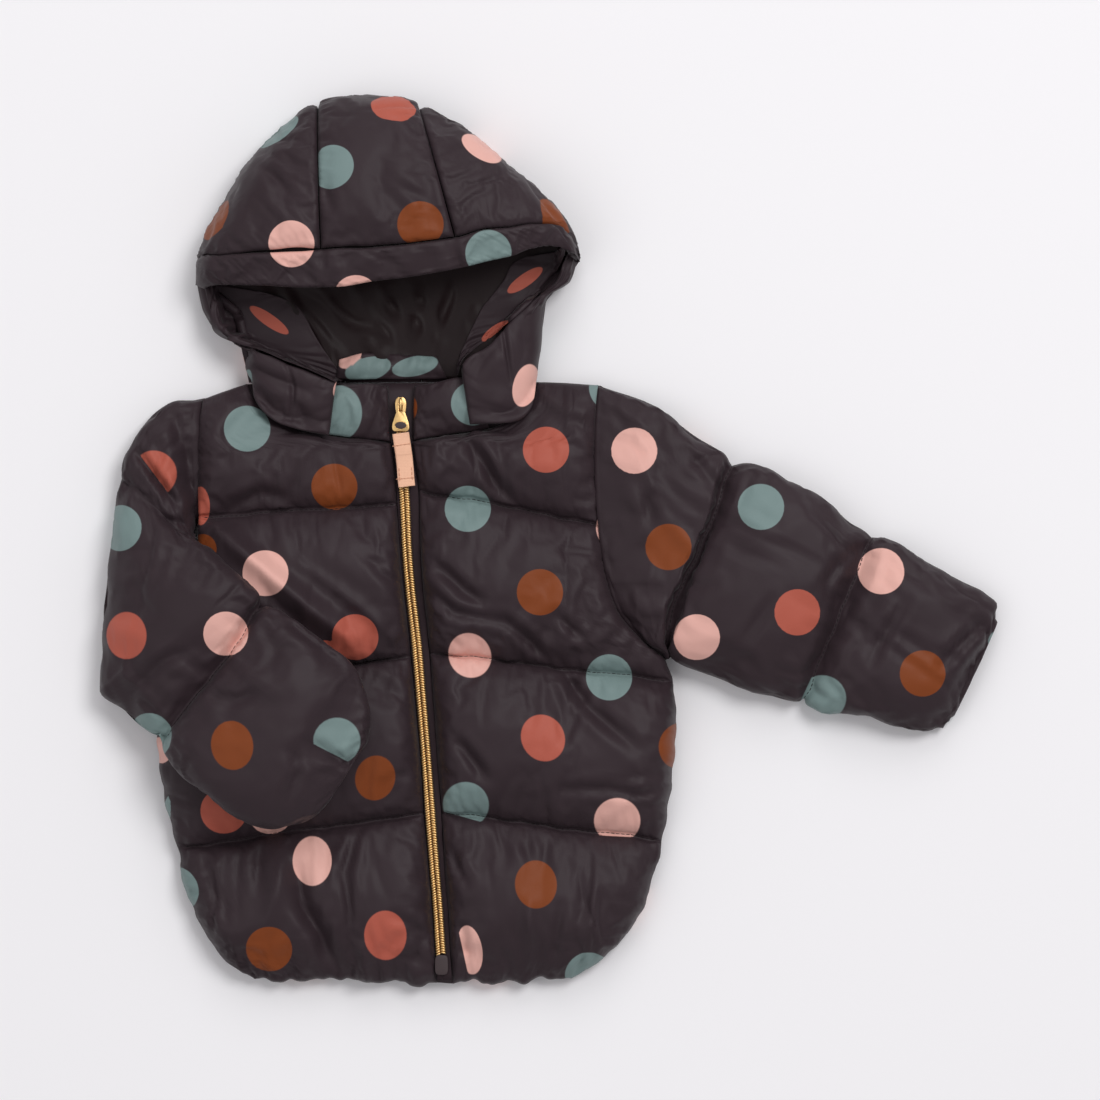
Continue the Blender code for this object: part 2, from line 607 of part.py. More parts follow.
CREST_STEPS = (0.3, 0.55, 0.75, 0.88, 0.96, 0.995, 1.015, 1.035, 1.06, 1.1, 1.2, 1.4, 1.5, 1.75, 1.999)
LINING_STEPS = (0.04, 0.25, 0.5, 0.75, 0.9, 0.98, 1.015, 1.035, 1.06, 1.1, 1.2, 1.4, 1.5, 1.75, 1.985)
BAND_SHARES = (0.0, 0.25, 0.6, 1.0)
RIGHT_FANS = [0.0, 0.35, 0.8, 1.4, 2.0, 2.7, 3.4, 4.2]
CENTRE_FANS = [6.0, 7.0, 8.0]
LEFT_FANS = [9.8, 10.6, 11.4, 12.1, 12.8, 13.4, 13.9, 14.3, 14.65, FAN_END]
SEAM_SHIFT = 0.022  # of a fan: half the gap at the hood's seams
BAND_GAP = 0.65  # half the gap at the brim band's seam


def band_share(fan):
    return float(np.clip(smooth_rows(HOOD, [fan])[0][2], 0, 1))


def band_gap(fan):
    """Half the gap at the band's seam, as a share of the way from brim to outline."""
    share, step = band_share(fan), 0.02
    way = (hood_point(fan, min(share + step, 1.0)) - hood_point(fan, share - step)).length
    return BAND_GAP * (min(share + step, 1.0) - share + step) / way


def panel_downs(fan):
    """From the brim band's seam over the crown and under to the neck."""
    start = min(band_share(fan) + band_gap(fan), 1.0)
    return [start] + [max(start, step) if step > 1 else blend(start, 1.0, step) for step in CREST_STEPS]


def hood_shell(name, fans, downs_at):
    return hood_wall(name, fans, downs_at, lambda down: 0.0, lambda down: HOOD_WALL, "shell")


def hood_panels():
    """Two side panels and the centre panel, each running over the crown to the back of the neck."""
    shift = SEAM_SHIFT
    hood_shell("hood_right", RIGHT_FANS + [RIGHT_SEAM - shift], panel_downs)
    hood_shell("hood_centre", [RIGHT_SEAM + shift] + CENTRE_FANS + [LEFT_SEAM - shift], panel_downs)
    hood_shell("hood_left", [LEFT_SEAM + shift] + LEFT_FANS, panel_downs)


def hood_band():
    """The brim's band, from one end of the opening to the other."""
    def downs(fan):
        end = band_share(fan) - band_gap(fan)
        return [end * share for share in BAND_SHARES]

    fans = RIGHT_FANS + [RIGHT_SEAM] + CENTRE_FANS + [LEFT_SEAM] + LEFT_FANS
    hood_shell("hood_band", fans, downs)


def hood_lining():
    """Dark lining inside the hood: just under the crown, and on the padding at the back."""
    def depth(down):
        return HOOD_WALL + CLEAR + CROWN_SLACK * float(np.clip((1.2 - down) / 0.15, 0, 1))

    fans = [0.6, 1.2, 2.0, 3.0, 4.0, 5.0, 6.0, 7.0, 8.0, 9.0, 10.2, 11.4, 12.6, 13.6, 14.3]
    return hood_wall("hood_lining", fans, lambda fan: LINING_STEPS, depth,
                     lambda down: depth(down) + LINING_WALL, "lining")


def flank(name, table, layers, start, end, rows):
    """Outside of one side of the opening, between two shares of its width, lying over the shoulder."""
    outer, inner = [], []
    for row in smooth_rows(table, rows):
        low_edge, open_edge, height = row[0:2], row[2:4], row[4]
        width = np.linalg.norm(open_edge - low_edge)
        top, low = [], []
        for share in np.linspace(start, end, 6):
            x, y = blend(low_edge, open_edge, share)
            z = blend(CREST_Z + FLANK_WALL, height, float(round_over(share * width, width * 0.8)))
            rest = layers.height(x, y, 7.0, UNDER_BRIM)
            under = max(z - FLANK_WALL, rest + CLEAR, CREST_Z + CLEAR)
            low.append((x, y, under))
            top.append((x, y, under + FLANK_WALL * blend(0.6, 1.0, float(round_over(share * width, 8)))))
        outer.append(top)
        inner.append(low)
    return wall(name, outer, inner)


def facing(name, table, layers):
    """Shell cloth inside one side of the opening, from its edge down to the lining's seam."""
    outer, inner = [], []
    for row in smooth_rows(table, np.linspace(0.15, len(table) - 1.15, 14)):
        open_edge, height, seam = row[2:4], row[4], row[5:7]
        top, low = [], []
        for share in np.linspace(0.06, 1.0, 6):
            x, y = blend(open_edge, seam, share)
            rest = layers.height(x, y, 5.0, UNDER_BRIM)
            z = blend(height - FACING_WALL - 1.0, rest, share**0.7)
            under = max(z, rest + CLEAR)
            low.append((x, y, under))
            top.append((x, y, under + FACING_WALL))
        outer.append(top)
        inner.append(low)
    return wall(name, outer, inner)


def collar(name, table, edge_column, layers, zip_row):
    """One front of the stand collar, plain inside and padded outside."""
    def neck_edge(down):
        return smooth_rows(BODY[:, 1:], [down], BODY[:, 0])[0, edge_column:edge_column + 2]

    outer, inner = [], []
    for down, *top_edge in smooth_rows(table, np.linspace(0, len(table) - 1, 9)):
        seam = neck_edge(down)
        from_zip = np.linalg.norm(seam - neck_edge(table[zip_row, 0]))
        top, low = [], []
        for share in np.linspace(NECK_GAP, 1, 7):
            x, y = blend(seam, np.array(top_edge), share)
            under = max(BACK_TOP, layers.height(x, y, 0.1)) + CLEAR
            puff = COLLAR_PUFF * math.sin(math.pi * blend(0.0, 0.8, share)) ** 0.7
            low.append((x, y, under))
            top.append((x, y, under + COLLAR_WALL + puff * float(round_over(from_zip, 12.0))))
        outer.append(top)
        inner.append(low)
    return wall(name, outer, inner)


def back_collar(layers):
    """Inside of the collar at the back of the neck, seen through the hood's opening."""
    outer, inner = [], []
    for row in smooth_rows(BACK_COLLAR, np.linspace(0, len(BACK_COLLAR) - 1, 9)):
        top, low = [], []
        for share in np.linspace(0, 1, 5):
            x, y = blend(row[0:2], row[2:4], share)
            under = layers.height(x, y, 2.0, UNDER_BRIM) + CLEAR
            low.append((x, y, under))
            top.append((x, y, under + 2.2 + 3.0 * math.sin(math.pi * share)))
        outer.append(top)
        inner.append(low)
    return wall("collar_back", outer, inner)


# ---------------------------------------------------------------- zip

def zip_line(down):
    """Edges of the two fronts and the middle of the teeth between them."""
    row = smooth_rows(BODY[:, 1:], [down], BODY[:, 0])[0]
    right, left = row[2:4], row[4:6]
    return right, left, blend(right, left, CHAIN_SHARE)


def strip(name, path, half_wide, z, thick, material):
    """A flat strip along a path."""
    path = np.asarray(path, float)
    along = np.gradient(path, axis=0)
    along /= np.linalg.norm(along, axis=1)[:, None]
    side = np.stack((-along[:, 1], along[:, 0]), axis=1) * half_wide
    upper = [[(*(p - s), z + thick), (*(p + s), z + thick)] for p, s in zip(path, side)]
    lower = [[(x, y, z) for x, y, _ in row] for row in upper]
    return wall(name, upper, lower, material)


def zip_tapes():
    """Dark cloth between each front's edge and the teeth."""
    downs = np.linspace(38.0, 351.0, 26)
    for name, edge in (("zip_tape_right", 0), ("zip_tape_left", 1)):
        outer, inner = [], []
        for down in downs:
            line = zip_line(down)
            start, middle = line[edge], line[2]
            width = np.linalg.norm(middle - start)
            ends = [blend(start, middle, GAP / width), blend(start, middle, 1 - 0.2 / width)]
            outer.append([(*p, TAPE_Z + TAPE_THICK) for p in ends])
            inner.append([(*p, TAPE_Z) for p in ends])
        wall(name, outer, inner, "tape")


def zip_chain():
    """One strip for the two rows of teeth, up into the slider, and the stop at its foot."""
    downs = np.linspace(42.0, 341.0, 28)
    path = [np.array((SLIDER_X, CHAIN_TOP_Y)), np.array((SLIDER_X + 0.3, 62.0))]
    path += [zip_line(down)[2] for down in downs]
    strip("zip_chain", path, CHAIN_WIDE / 2, CHAIN_Z, CHAIN_THICK, "brass")
    foot = [zip_line(down)[2] for down in (342.0, 342.0 + STOP_LONG)]
    strip("zip_stop", foot, CHAIN_WIDE / 2 + 0.6, CHAIN_Z, CHAIN_THICK + 0.4, "dark_metal")


def adopt(thing):
    """Moves a new primitive into this part's collection and gives it brass."""
    for other in list(thing.users_collection):
        other.objects.unlink(thing)
    bpy.data.collections[NAME].objects.link(thing)
    thing.data.materials.append(finish("brass"))
    return thing


def box(corner, size):
    """A block from its low corner and its size."""
    bpy.ops.mesh.primitive_cube_add(size=1)
    block = adopt(bpy.context.object)
    for vertex in block.data.vertices:
        vertex.co = Vector(((np.array(vertex.co) + 0.5) * size + corner) * MM)
    return block


def join(name, blocks):
    """Blocks that overlap made one solid."""
    first = blocks[0]
    first.name = name
    for block in blocks[1:]:
        union = first.modifiers.new("union", "BOOLEAN")
        union.operation = "UNION"
        union.solver = "EXACT"
        union.object = block
        block.hide_render = True
        block.hide_viewport = True
    return first


def slider():
    """Slider body round the top of the teeth, with the bridge its pull hangs from; returns its height."""
    low_z, top_z = CHAIN_Z + 0.1, CHAIN_Z + CHAIN_THICK + GAP
    left_x, low_y = SLIDER_X - SLIDER_WIDE / 2, SLIDER_Y - SLIDER_LONG / 2
    tall = top_z - low_z + PLATE_THICK
    plate_top = low_z + tall
    blocks = [box((left_x, low_y, top_z), (SLIDER_WIDE, SLIDER_LONG, PLATE_THICK))]
    for x in (left_x, left_x + SLIDER_WIDE - FLANGE):
        blocks.append(box((x, low_y + 0.4, low_z), (FLANGE, SLIDER_LONG - 0.8, tall - 0.2)))
    post_y = CHAIN_TOP_Y + GAP
    post_long = low_y + SLIDER_LONG - 0.3 - post_y
    blocks.append(box((left_x + 0.2, post_y, low_z + 0.05), (SLIDER_WIDE - 0.4, post_long, tall - 0.3)))
    bridge_x, bridge_y = SLIDER_X - BRIDGE_WIDE / 2, PULL_Y - BRIDGE_LONG / 2
    bar_z = plate_top + BRIDGE_TALL - BRIDGE_BAR
    for y in (bridge_y, bridge_y + BRIDGE_LONG - BRIDGE_BAR):
        blocks.append(box((bridge_x, y, plate_top - 0.4), (BRIDGE_WIDE, BRIDGE_BAR, BRIDGE_TALL + 0.2)))
    blocks.append(box((bridge_x, bridge_y, bar_z), (BRIDGE_WIDE, BRIDGE_LONG, BRIDGE_BAR)))
    join("zip_slider", blocks)
    return bar_z


def puller(bar_z):
    """Pull hung on a pin through the bridge, and its ribbon; both turn about the pin."""
    axis = np.array((SLIDER_X, PULL_Y, bar_z - PIN_CLEAR - PIN_RADIUS))
    arm_x = BRIDGE_WIDE / 2 + ARM_GAP
    low_z = axis[2] - PULLER_THICK / 2
    bpy.ops.mesh.primitive_cylinder_add(vertices=12, radius=PIN_RADIUS * MM,
                                        depth=2 * (arm_x + ARM_WIDE - 0.2) * MM,
                                        location=axis * MM, rotation=(0, math.pi / 2, 0))
    pin = adopt(bpy.context.object)
    arm_size = (ARM_WIDE, ARM_LONG + PIN_RADIUS, PULLER_THICK)
    arms = [box((x, PULL_Y - ARM_LONG, low_z), arm_size)
            for x in (SLIDER_X - arm_x - ARM_WIDE, SLIDER_X + arm_x)]
    top_y = PULL_Y - ARM_LONG + 0.4
    lower = [[(SLIDER_X + side * wide / 2, y, low_z) for side in (-1, 1)]
             for wide, y in ((PULLER_TOP, top_y), (PULLER_WIDE, top_y - PULLER_LONG))]
    upper = [[(x, y, z + PULLER_THICK) for x, y, z in row] for row in lower]
    join("zip_puller", [pin, *arms, wall("pull_plate", upper, lower, "brass")])
    start = np.array((SLIDER_X, top_y - PULLER_LONG - 2 * GAP))
    end = start + (RIBBON_LEAN, -RIBBON_LONG)
    path = [blend(start, end, share) for share in np.linspace(0, 1, 6)]
    strip("pull_ribbon", path, RIBBON_WIDE / 2, axis[2] - RIBBON_THICK / 2, RIBBON_THICK, "ribbon")


def main():
    clear_scene()
    collection = bpy.data.collections.new(NAME)
    bpy.context.scene.collection.children.link(collection)
    back, right_front, left_front = back_panel(), front("right_front", 0, 2), front("left_front", 6, 4)
    left_sleeve()
    layers = Layers()
    layers.add(back, right_front, left_front)
    right_sleeve(layers)
    hood_panels()
    hood_band()
    layers.add(hood_lining())
    layers.add(back_collar(layers))
    neck = Layers()
    neck.add(back)
    layers.add(collar("collar_right", RIGHT_COLLAR, 2, neck, -1))
    layers.add(collar("collar_left", LEFT_COLLAR, 4, neck, 0))
    for side, table in (("right", RIGHT_FLANK), ("left", LEFT_FLANK)):
        inside = facing("hood_facing_" + side, table, layers)
        above = Layers()
        above.trees = layers.trees[:]
        above.add(inside)
        last = len(table) - 1
        band_row = BAND_END_FROM * last
        flank("hood_flank_" + side, table, above, 0.0, 1.0, np.linspace(0.1, band_row, 7))
        chin_rows = np.linspace(band_row + 0.06, last, 9)
        flank("chin_" + side, table, above, 0.0, BAND_END - 0.008, chin_rows)
        flank("band_end_" + side, table, above, BAND_END + 0.008, 1.0, chin_rows)
    zip_tapes()
    zip_chain()
    puller(slider())


main()
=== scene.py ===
"""Looks of the baby's puffer jacket: its cloth, printed dots, stitching and zip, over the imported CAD.

Tables are in millimetres in the CAD's frame. X runs to the right of the picture, Y up it, Z towards the
viewer, and the floor is Z = 0. The surfaces follow the same tables as the part's source, in finer rows,
and then take the puckers, folds and creases that the photograph shows.
"""

import math

import bmesh
import bpy
import numpy as np
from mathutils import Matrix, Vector
from mathutils.bvhtree import BVHTree


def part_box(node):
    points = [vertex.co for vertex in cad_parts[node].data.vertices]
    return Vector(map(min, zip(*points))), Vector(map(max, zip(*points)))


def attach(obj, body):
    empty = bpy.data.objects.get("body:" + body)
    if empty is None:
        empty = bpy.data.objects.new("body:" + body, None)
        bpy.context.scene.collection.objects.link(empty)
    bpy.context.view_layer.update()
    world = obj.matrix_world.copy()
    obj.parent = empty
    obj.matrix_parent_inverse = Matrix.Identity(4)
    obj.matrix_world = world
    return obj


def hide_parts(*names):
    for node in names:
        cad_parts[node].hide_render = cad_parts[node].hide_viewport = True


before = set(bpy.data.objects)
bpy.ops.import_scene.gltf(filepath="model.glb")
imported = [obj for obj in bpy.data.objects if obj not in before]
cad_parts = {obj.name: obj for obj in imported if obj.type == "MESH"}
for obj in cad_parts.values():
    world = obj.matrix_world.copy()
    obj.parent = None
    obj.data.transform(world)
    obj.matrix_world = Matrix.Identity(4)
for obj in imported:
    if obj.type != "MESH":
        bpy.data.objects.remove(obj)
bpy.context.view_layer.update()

MM = 0.001
CAMERA_HEIGHT, SHOWN_WIDTH = 4.5, 0.66  # metres
GAP = 0.5  # between pieces sewn edge to edge, and between layers
CLEAR = 0.45
FRONT_GAP = 0.75  # between the back panel and a front's plain inside

# Heights of the layers
BACK_TOP = 13.0  # inside of the back panel
SEAM_Z = 8.5  # side seam, shoulder and hem
EDGE_WALL = 2.2  # padded wall where it is stitched down
ARMHOLE_WALL = 4.5
ROLL = 7.0  # rounding of the underside's edge
TOP_ROLL = 26.0

# Quilting lines across the fronts, as distance down from the shoulder, and each channel's puff
QUILTING = (0.0, 74.0, 168.0, 264.0, 352.0)
PUFF = (12.5, 16.0, 16.0, 13.0)
PUFF_POWER = 0.52

# down, side seam of the right front, its zip edge, zip edge of the left front, its side seam (x, y each)
BODY = np.array((
    (0, -208.2, 84.0, -182.4, 93.0, -7.2, 94.2, 28.8, 92.4),
    (12, -210.0, 71.4, -172.8, 78.0, -13.2, 78.6, 27.6, 79.8),
    (24, -210.6, 60.6, -150.0, 64.8, -36.0, 65.4, 27.0, 66.6),
    (30, -211.2, 55.2, -123.0, 60.0, -57.0, 61.8, 27.0, 60.6),
    (36, -211.2, 49.8, -95.4, 57.0, -82.2, 57.6, 27.0, 54.6),
    (74, -210.6, 13.2, -91.8, 21.0, -78.6, 28.8, 30.0, 8.4),
    (98, -211.8, -12.6, -90.6, -3.6, -77.4, -3.6, 33.6, -17.4),
    (122, -217.2, -39.6, -88.2, -30.6, -75.6, -30.6, 40.8, -42.6),
    (146, -229.2, -63.6, -85.2, -54.6, -73.2, -53.4, 57.0, -62.4),
    (158, -236.4, -79.8, -84.0, -63.6, -72.6, -61.8, 69.0, -72.6),
    (168, -236.4, -90.6, -83.4, -70.2, -72.0, -68.4, 73.2, -85.8),
    (200, -235.8, -117.6, -81.0, -99.6, -69.6, -96.6, 75.0, -111.6),
    (232, -231.6, -150.6, -78.0, -132.6, -67.2, -130.8, 72.6, -147.6),
    (264, -224.4, -185.4, -75.6, -164.4, -64.8, -164.4, 66.6, -181.2),
    (292, -217.8, -211.8, -73.2, -193.8, -63.0, -192.6, 58.2, -214.8),
    (320, -207.0, -235.8, -70.8, -222.6, -60.6, -222.6, 43.2, -239.4),
    (340, -195.6, -250.8, -69.0, -246.6, -59.4, -246.6, 28.8, -253.2),
    (352, -178.0, -264.0, -67.8, -265.9, -58.2, -265.9, 12.0, -264.0),
))
ARMHOLE_ENDS = (148.0, 164.0)  # the seam turns from armhole to side seam between these

# Largest folds of the fronts: start x, y, end x, y, depth, half width
FOLDS = (
    (-204.6, 10.8, -120.0, -60.6, -3.0, 9.0),
    (-150.0, -12.6, -93.0, -60.6, 4.0, 8.0),
    (-195.0, 18.6, -159.0, 23.4, 3.0, 8.0),
    (-150.0, -198.6, -132.0, -258.6, 5.0, 9.0),
    (-51.0, 62.4, -30.0, 29.4, 3.0, 7.0),
    (-69.0, -15.0, -27.0, -49.8, 4.0, 8.0),
    (4.8, -69.0, 49.2, -122.4, 3.5, 8.0),
    (-57.0, -118.2, -37.8, -143.4, 3.0, 8.0),
)

# Left sleeve, laid out: along, shoulder edge x, y, underarm edge x, y, thickness
LEFT_SLEEVE = np.array((
    (0, 29.6, 92.4, 69.6, -72.4, 21),
    (24, 61.8, 80.4, 71.6, -71.8, 31),
    (48, 89.4, 59.4, 73.4, -71.0, 34),
    (66, 104.0, 52.0, 73.0, -69.4, 32),
    (78, 110.4, 47.0, 70.8, -68.0, 24),
    (90, 122.0, 45.2, 76.0, -73.8, 31),
    (112, 144.0, 34.6, 98.0, -83.0, 36),
    (138, 168.0, 21.0, 129.0, -94.0, 34),
    (155, 182.0, 9.0, 146.0, -97.6, 30),
    (165, 195.0, 4.6, 151.2, -99.4, 24),
    (176, 206.0, 0.4, 163.0, -104.2, 30),
    (196, 228.0, -15.0, 186.0, -105.4, 33),
    (216, 248.0, -26.4, 208.0, -112.0, 30),
    (230, 261.0, -33.0, 226.0, -115.2, 25),
    (240, 269.3, -40.4, 236.0, -113.4, 19),
    (246, 269.3, -50.0, 243.0, -106.0, 13),
))
LEFT_ARMHOLE, RIGHT_ARMHOLE = 159.0, 77.0  # how far down the body each sleeve is sewn in sight
ARMHOLE_FADE = 66.0  # the armhole's curve is lost this far along the sleeve
ARMHOLE_TUCK = 1.7  # the sleeve's edge goes this far into the armhole seam
LEFT_LINES, RIGHT_LINES = (78.0, 165.0), (50.0, 162.0)  # quilting lines along the sleeves
LEFT_GROOVES, RIGHT_GROOVES = (2.5, 3.4), (1.7, 4.4)  # and how deep they are
LEFT_TURN = 0.6  # the left sleeve's first line comes this share nearer the armhole at its inner edge
CUFF = ((0.0, 0.86), (3.0, 0.78), (9.0, 0.74), (18.0, 0.72), (26.0, 0.7))  # depth inside the sleeve, and size
# Right sleeve, folded over the front: along, outer edge x, y, inner edge x, y, thickness,
# height of what it lies on under its outer and its inner edge
RIGHT_SLEEVE = np.array((
    (0, -211.2, 83.4, -212.8, 9.6, 19, 0, 0),
    (10, -223.2, 83.0, -213.4, 6.6, 25, 0, 0),
    (28, -246.0, 65.0, -213.6, 3.4, 30, 0, 1),
    (50, -259.2, 36.6, -213.0, 0.4, 27, 0, 8),
    (75, -263.4, -3.6, -202.8, -6.0, 36, 0, 20),
    (100, -267.6, -48.6, -192.0, -15.6, 38, 0, 27),
    (125, -269.4, -90.6, -180.0, -25.8, 36, 0, 31),
    (138, -256.8, -100.8, -175.8, -30.6, 34, 5, 32),
    (150, -246.0, -110.4, -172.8, -33.6, 30, 14, 33),
    (162, -234.6, -120.6, -169.8, -37.2, 24, 23, 33),
    (174, -229.0, -129.0, -162.0, -42.0, 28, 28, 33),
    (187, -222.0, -138.2, -152.4, -47.4, 32, 30, 33),
    (212, -202.8, -154.4, -133.8, -61.8, 34, 32, 33),
    (232, -184.8, -167.0, -118.8, -75.6, 33, 33, 33),
    (252, -166.8, -171.8, -110.4, -91.8, 30, 33, 33),
    (267, -148.8, -169.2, -107.4, -106.2, 26, 33, 33),
    (280, -135.0, -160.2, -108.6, -119.4, 21, 33, 33),
    (290, -128.2, -149.2, -113.4, -127.2, 15, 33, 33),
    (298, -124.8, -141.2, -119.0, -132.2, 9, 33, 33),
))
BESIDE_BODY = 48.0  # up to here along, it lies on the floor beside the body

# Hood, as a fan from the brim over the crown to the outline: brim x, y, share of the fan that is the
# brim band, outline x, y
HOOD = np.array((
    (-207.0, 149.4, 1.00, -212.6, 152.4),
    (-196.8, 150.0, 1.00, -211.8, 166.2),
    (-186.0, 150.0, 0.56, -205.8, 184.2),
    (-172.8, 150.0, 0.35, -193.2, 207.0),
    (-159.0, 149.4, 0.25, -175.2, 232.8),
    (-144.6, 148.8, 0.20, -143.4, 260.4),
    (-125.4, 149.4, 0.20, -126.0, 265.6),
    (-106.2, 152.4, 0.18, -110.4, 266.4),
    (-85.2, 154.8, 0.18, -93.6, 265.6),
    (-51.6, 160.8, 0.18, -77.4, 260.6),
    (-37.2, 164.4, 0.23, -51.6, 246.6),
    (-21.0, 168.0, 0.29, -28.2, 227.4),
    (-11.4, 171.6, 0.47, -3.6, 206.4),
    (0.0, 173.4, 0.84, 10.8, 188.4),
    (10.8, 170.4, 1.00, 16.8, 174.0),
    (15.0, 169.2, 1.00, 18.0, 166.2),
))
RIGHT_SEAM, LEFT_SEAM, FAN_END = 5.0, 9.0, 15.0  # the centre panel lies between these two places
BRIM_ENDS_Z, BRIM_Z, CROWN_RISE, CREST_Z = 22.0, 58.0, 8.0, 12.0
CROWN_POWER = 2.4
WAIST = ((-189.5, 134.0), (-2.4, 142.8))  # ends of the hood's under layer a third of the way to the neck
NECK = ((-180.6, 93.7), (-8.4, 94.9))  # its ends at the neck seam
HOOD_WALL, LINING_WALL = 5.0, 1.0
CROWN_SLACK = 2.2  # the lining hangs this far below the crown's padding
UNDER_BRIM = 45.0  # height from which what lies in the hood's opening is seen

# Sides of the hood's opening: outer edge x, y, opening edge x, y, its height, lining seam x, y
RIGHT_FLANK = np.array((
    (-212.0, 145.0, -203.4, 146.4, 21, -176.0, 149.0),
    (-207.0, 135.6, -196.8, 132.6, 24, -162.0, 145.2),
    (-200.4, 125.4, -189.6, 120.6, 27, -151.8, 139.8),
    (-186.6, 116.4, -175.2, 112.2, 29, -146.4, 132.6),
    (-184.2, 103.2, -165.0, 108.6, 31, -142.8, 125.4),
    (-179.4, 87.6, -155.4, 103.8, 33, -138.0, 117.0),
    (-170.4, 75.0, -146.4, 100.8, 34, -133.2, 109.8),
    (-161.4, 69.0, -139.2, 97.8, 35, -129.0, 103.8),
    (-145.2, 64.2, -132.6, 95.4, 35, -125.4, 99.0),
    (-132.0, 61.8, -127.8, 93.6, 34, -123.0, 95.4),
))
LEFT_FLANK = np.array((
    (17.4, 163.0, 12.6, 166.0, 21, -12.0, 170.4),
    (12.0, 154.8, 3.6, 154.2, 24, -22.8, 165.0),
    (-2.4, 144.0, -7.2, 145.2, 27, -27.0, 156.6),
    (-4.2, 136.2, -15.0, 138.6, 29, -31.2, 150.6),
    (-4.8, 127.8, -22.8, 131.4, 31, -36.0, 144.6),
    (-5.4, 116.4, -28.2, 124.2, 32, -40.8, 138.6),
    (-7.2, 105.0, -34.2, 117.6, 33, -44.4, 131.4),
    (-8.4, 92.4, -39.6, 113.4, 34, -48.0, 124.2),
    (-11.4, 78.6, -45.6, 110.4, 34, -51.0, 117.6),
    (-18.0, 71.4, -49.8, 107.4, 34, -53.4, 112.2),
    (-30.0, 69.0, -52.2, 104.4, 34, -54.6, 108.6),
    (-48.0, 68.4, -53.4, 102.6, 33, -55.8, 105.6),
))
FLANK_WALL, FACING_WALL = 4.0, 1.5

# Collar: how far down the front's edge it is sewn, and its top edge x, y
RIGHT_COLLAR = np.array((
    (21.0, -139.2, 87.6),
    (28.0, -126.0, 92.4),
    (32.5, -109.2, 93.6),
    (35.6, -97.0, 91.8),
))
LEFT_COLLAR = np.array((
    (35.6, -81.6, 91.8),
    (32.5, -67.6, 94.2),
    (28.0, -54.0, 97.0),
    (24.0, -45.6, 96.0),
))
COLLAR_WALL, COLLAR_PUFF = 3.6, 8.0
NECK_GAP = 0.03  # of the collar's height, at its seam
# Inside of the neck at the back: lower edge x, y, upper edge x, y
BACK_COLLAR = np.array((
    (-128.4, 96.6, -126.6, 108.0),
    (-105.0, 96.0, -105.6, 111.6),
    (-84.0, 96.0, -84.6, 110.4),
    (-62.0, 96.6, -68.4, 109.8),
))

# Zip
TAPE_Z, TAPE_THICK = 15.2, 1.0
CHAIN_Z, CHAIN_THICK = 16.5, 2.2
CHAIN_SHARE = 0.36  # place of the teeth across the gap between the fronts
CHAIN_TOP_Y = 75.0
SLIDER_X, SLIDER_Y = -89.4, 79.0
PLATE_THICK = 1.2
BRIDGE_WIDE, BRIDGE_LONG, BRIDGE_TALL, BRIDGE_BAR = 1.5, 7.2, 3.4, 1.0
PIN_RADIUS, PIN_CLEAR, PULL_Y = 0.6, 0.35, 80.6
ARM_LONG = 6.0
PULLER_LONG, PULLER_THICK = 10.6, 1.0
RIBBON_WIDE, RIBBON_LONG, RIBBON_THICK, RIBBON_LEAN = 10.0, 32.0, 1.2, 4.2


# ---------------------------------------------------------------- curves and profiles

def smooth_rows(table, steps, along=None):
    """The table's rows read as smooth curves that never overshoot, at the given places along it."""
    knots = np.arange(len(table), dtype=float) if along is None else np.asarray(along, float)
    table = np.asarray(table, float)
    steps = np.clip(np.asarray(steps, float), knots[0], knots[-1])
    rise = np.diff(table, axis=0) / np.diff(knots)[:, None]
    slope = np.concatenate((rise[:1], np.zeros_like(rise[1:]), rise[-1:]))
    same_way = rise[1:] * rise[:-1] > 0
    slope[1:-1][same_way] = (2 * rise[1:] * rise[:-1])[same_way] / (rise[1:] + rise[:-1])[same_way]
    i = np.clip(np.searchsorted(knots, steps, "right") - 1, 0, len(knots) - 2)
    span = (knots[i + 1] - knots[i])[:, None]
    t = (steps - knots[i])[:, None] / span
    return ((2 * t**3 - 3 * t**2 + 1) * table[i] + (t**3 - 2 * t**2 + t) * span * slope[i]
            + (3 * t**2 - 2 * t**3) * table[i + 1] + (t**3 - t**2) * span * slope[i + 1])


def round_over(distance, radius):
    """0 at an edge, rising as a quarter circle to 1 at the radius."""
    inside = 1 - np.clip(np.asarray(distance, float) / radius, 0, 1)
    return np.sqrt(1 - inside**2)


def blend(start, end, share):
    return start + (end - start) * share


def length(vectors):
    return np.linalg.norm(vectors, axis=-1)


def lattice(ix, iy, seed):
    """A repeatable angle for each whole place."""
    mix = (ix * 374761393 + iy * 668265263 + seed * 2246822519) & 0xFFFFFFFF
    mix = ((mix ^ (mix >> 13)) * 1274126177) & 0xFFFFFFFF
    return (mix ^ (mix >> 16)) / 2**32 * 2 * math.pi


def noise(x, y, seed):
    """Smooth gradient noise, about -1 to 1."""
    x, y = np.broadcast_arrays(np.asarray(x, float), np.asarray(y, float))
    ix, iy = np.floor(x).astype(np.int64), np.floor(y).astype(np.int64)
    fx, fy = x - ix, y - iy
    total = 0.0
    for dx in (0, 1):
        for dy in (0, 1):
            angle = lattice(ix + dx, iy + dy, seed)
            near_x = 1 - fx if dx == 0 else fx
            near_y = 1 - fy if dy == 0 else fy
            weight = near_x**3 * (near_x * (near_x * 6 - 15) + 10) * near_y**3 * (near_y * (near_y * 6 - 15) + 10)
            total = total + weight * (np.cos(angle) * (fx - dx) + np.sin(angle) * (fy - dy))
    return total * 1.5


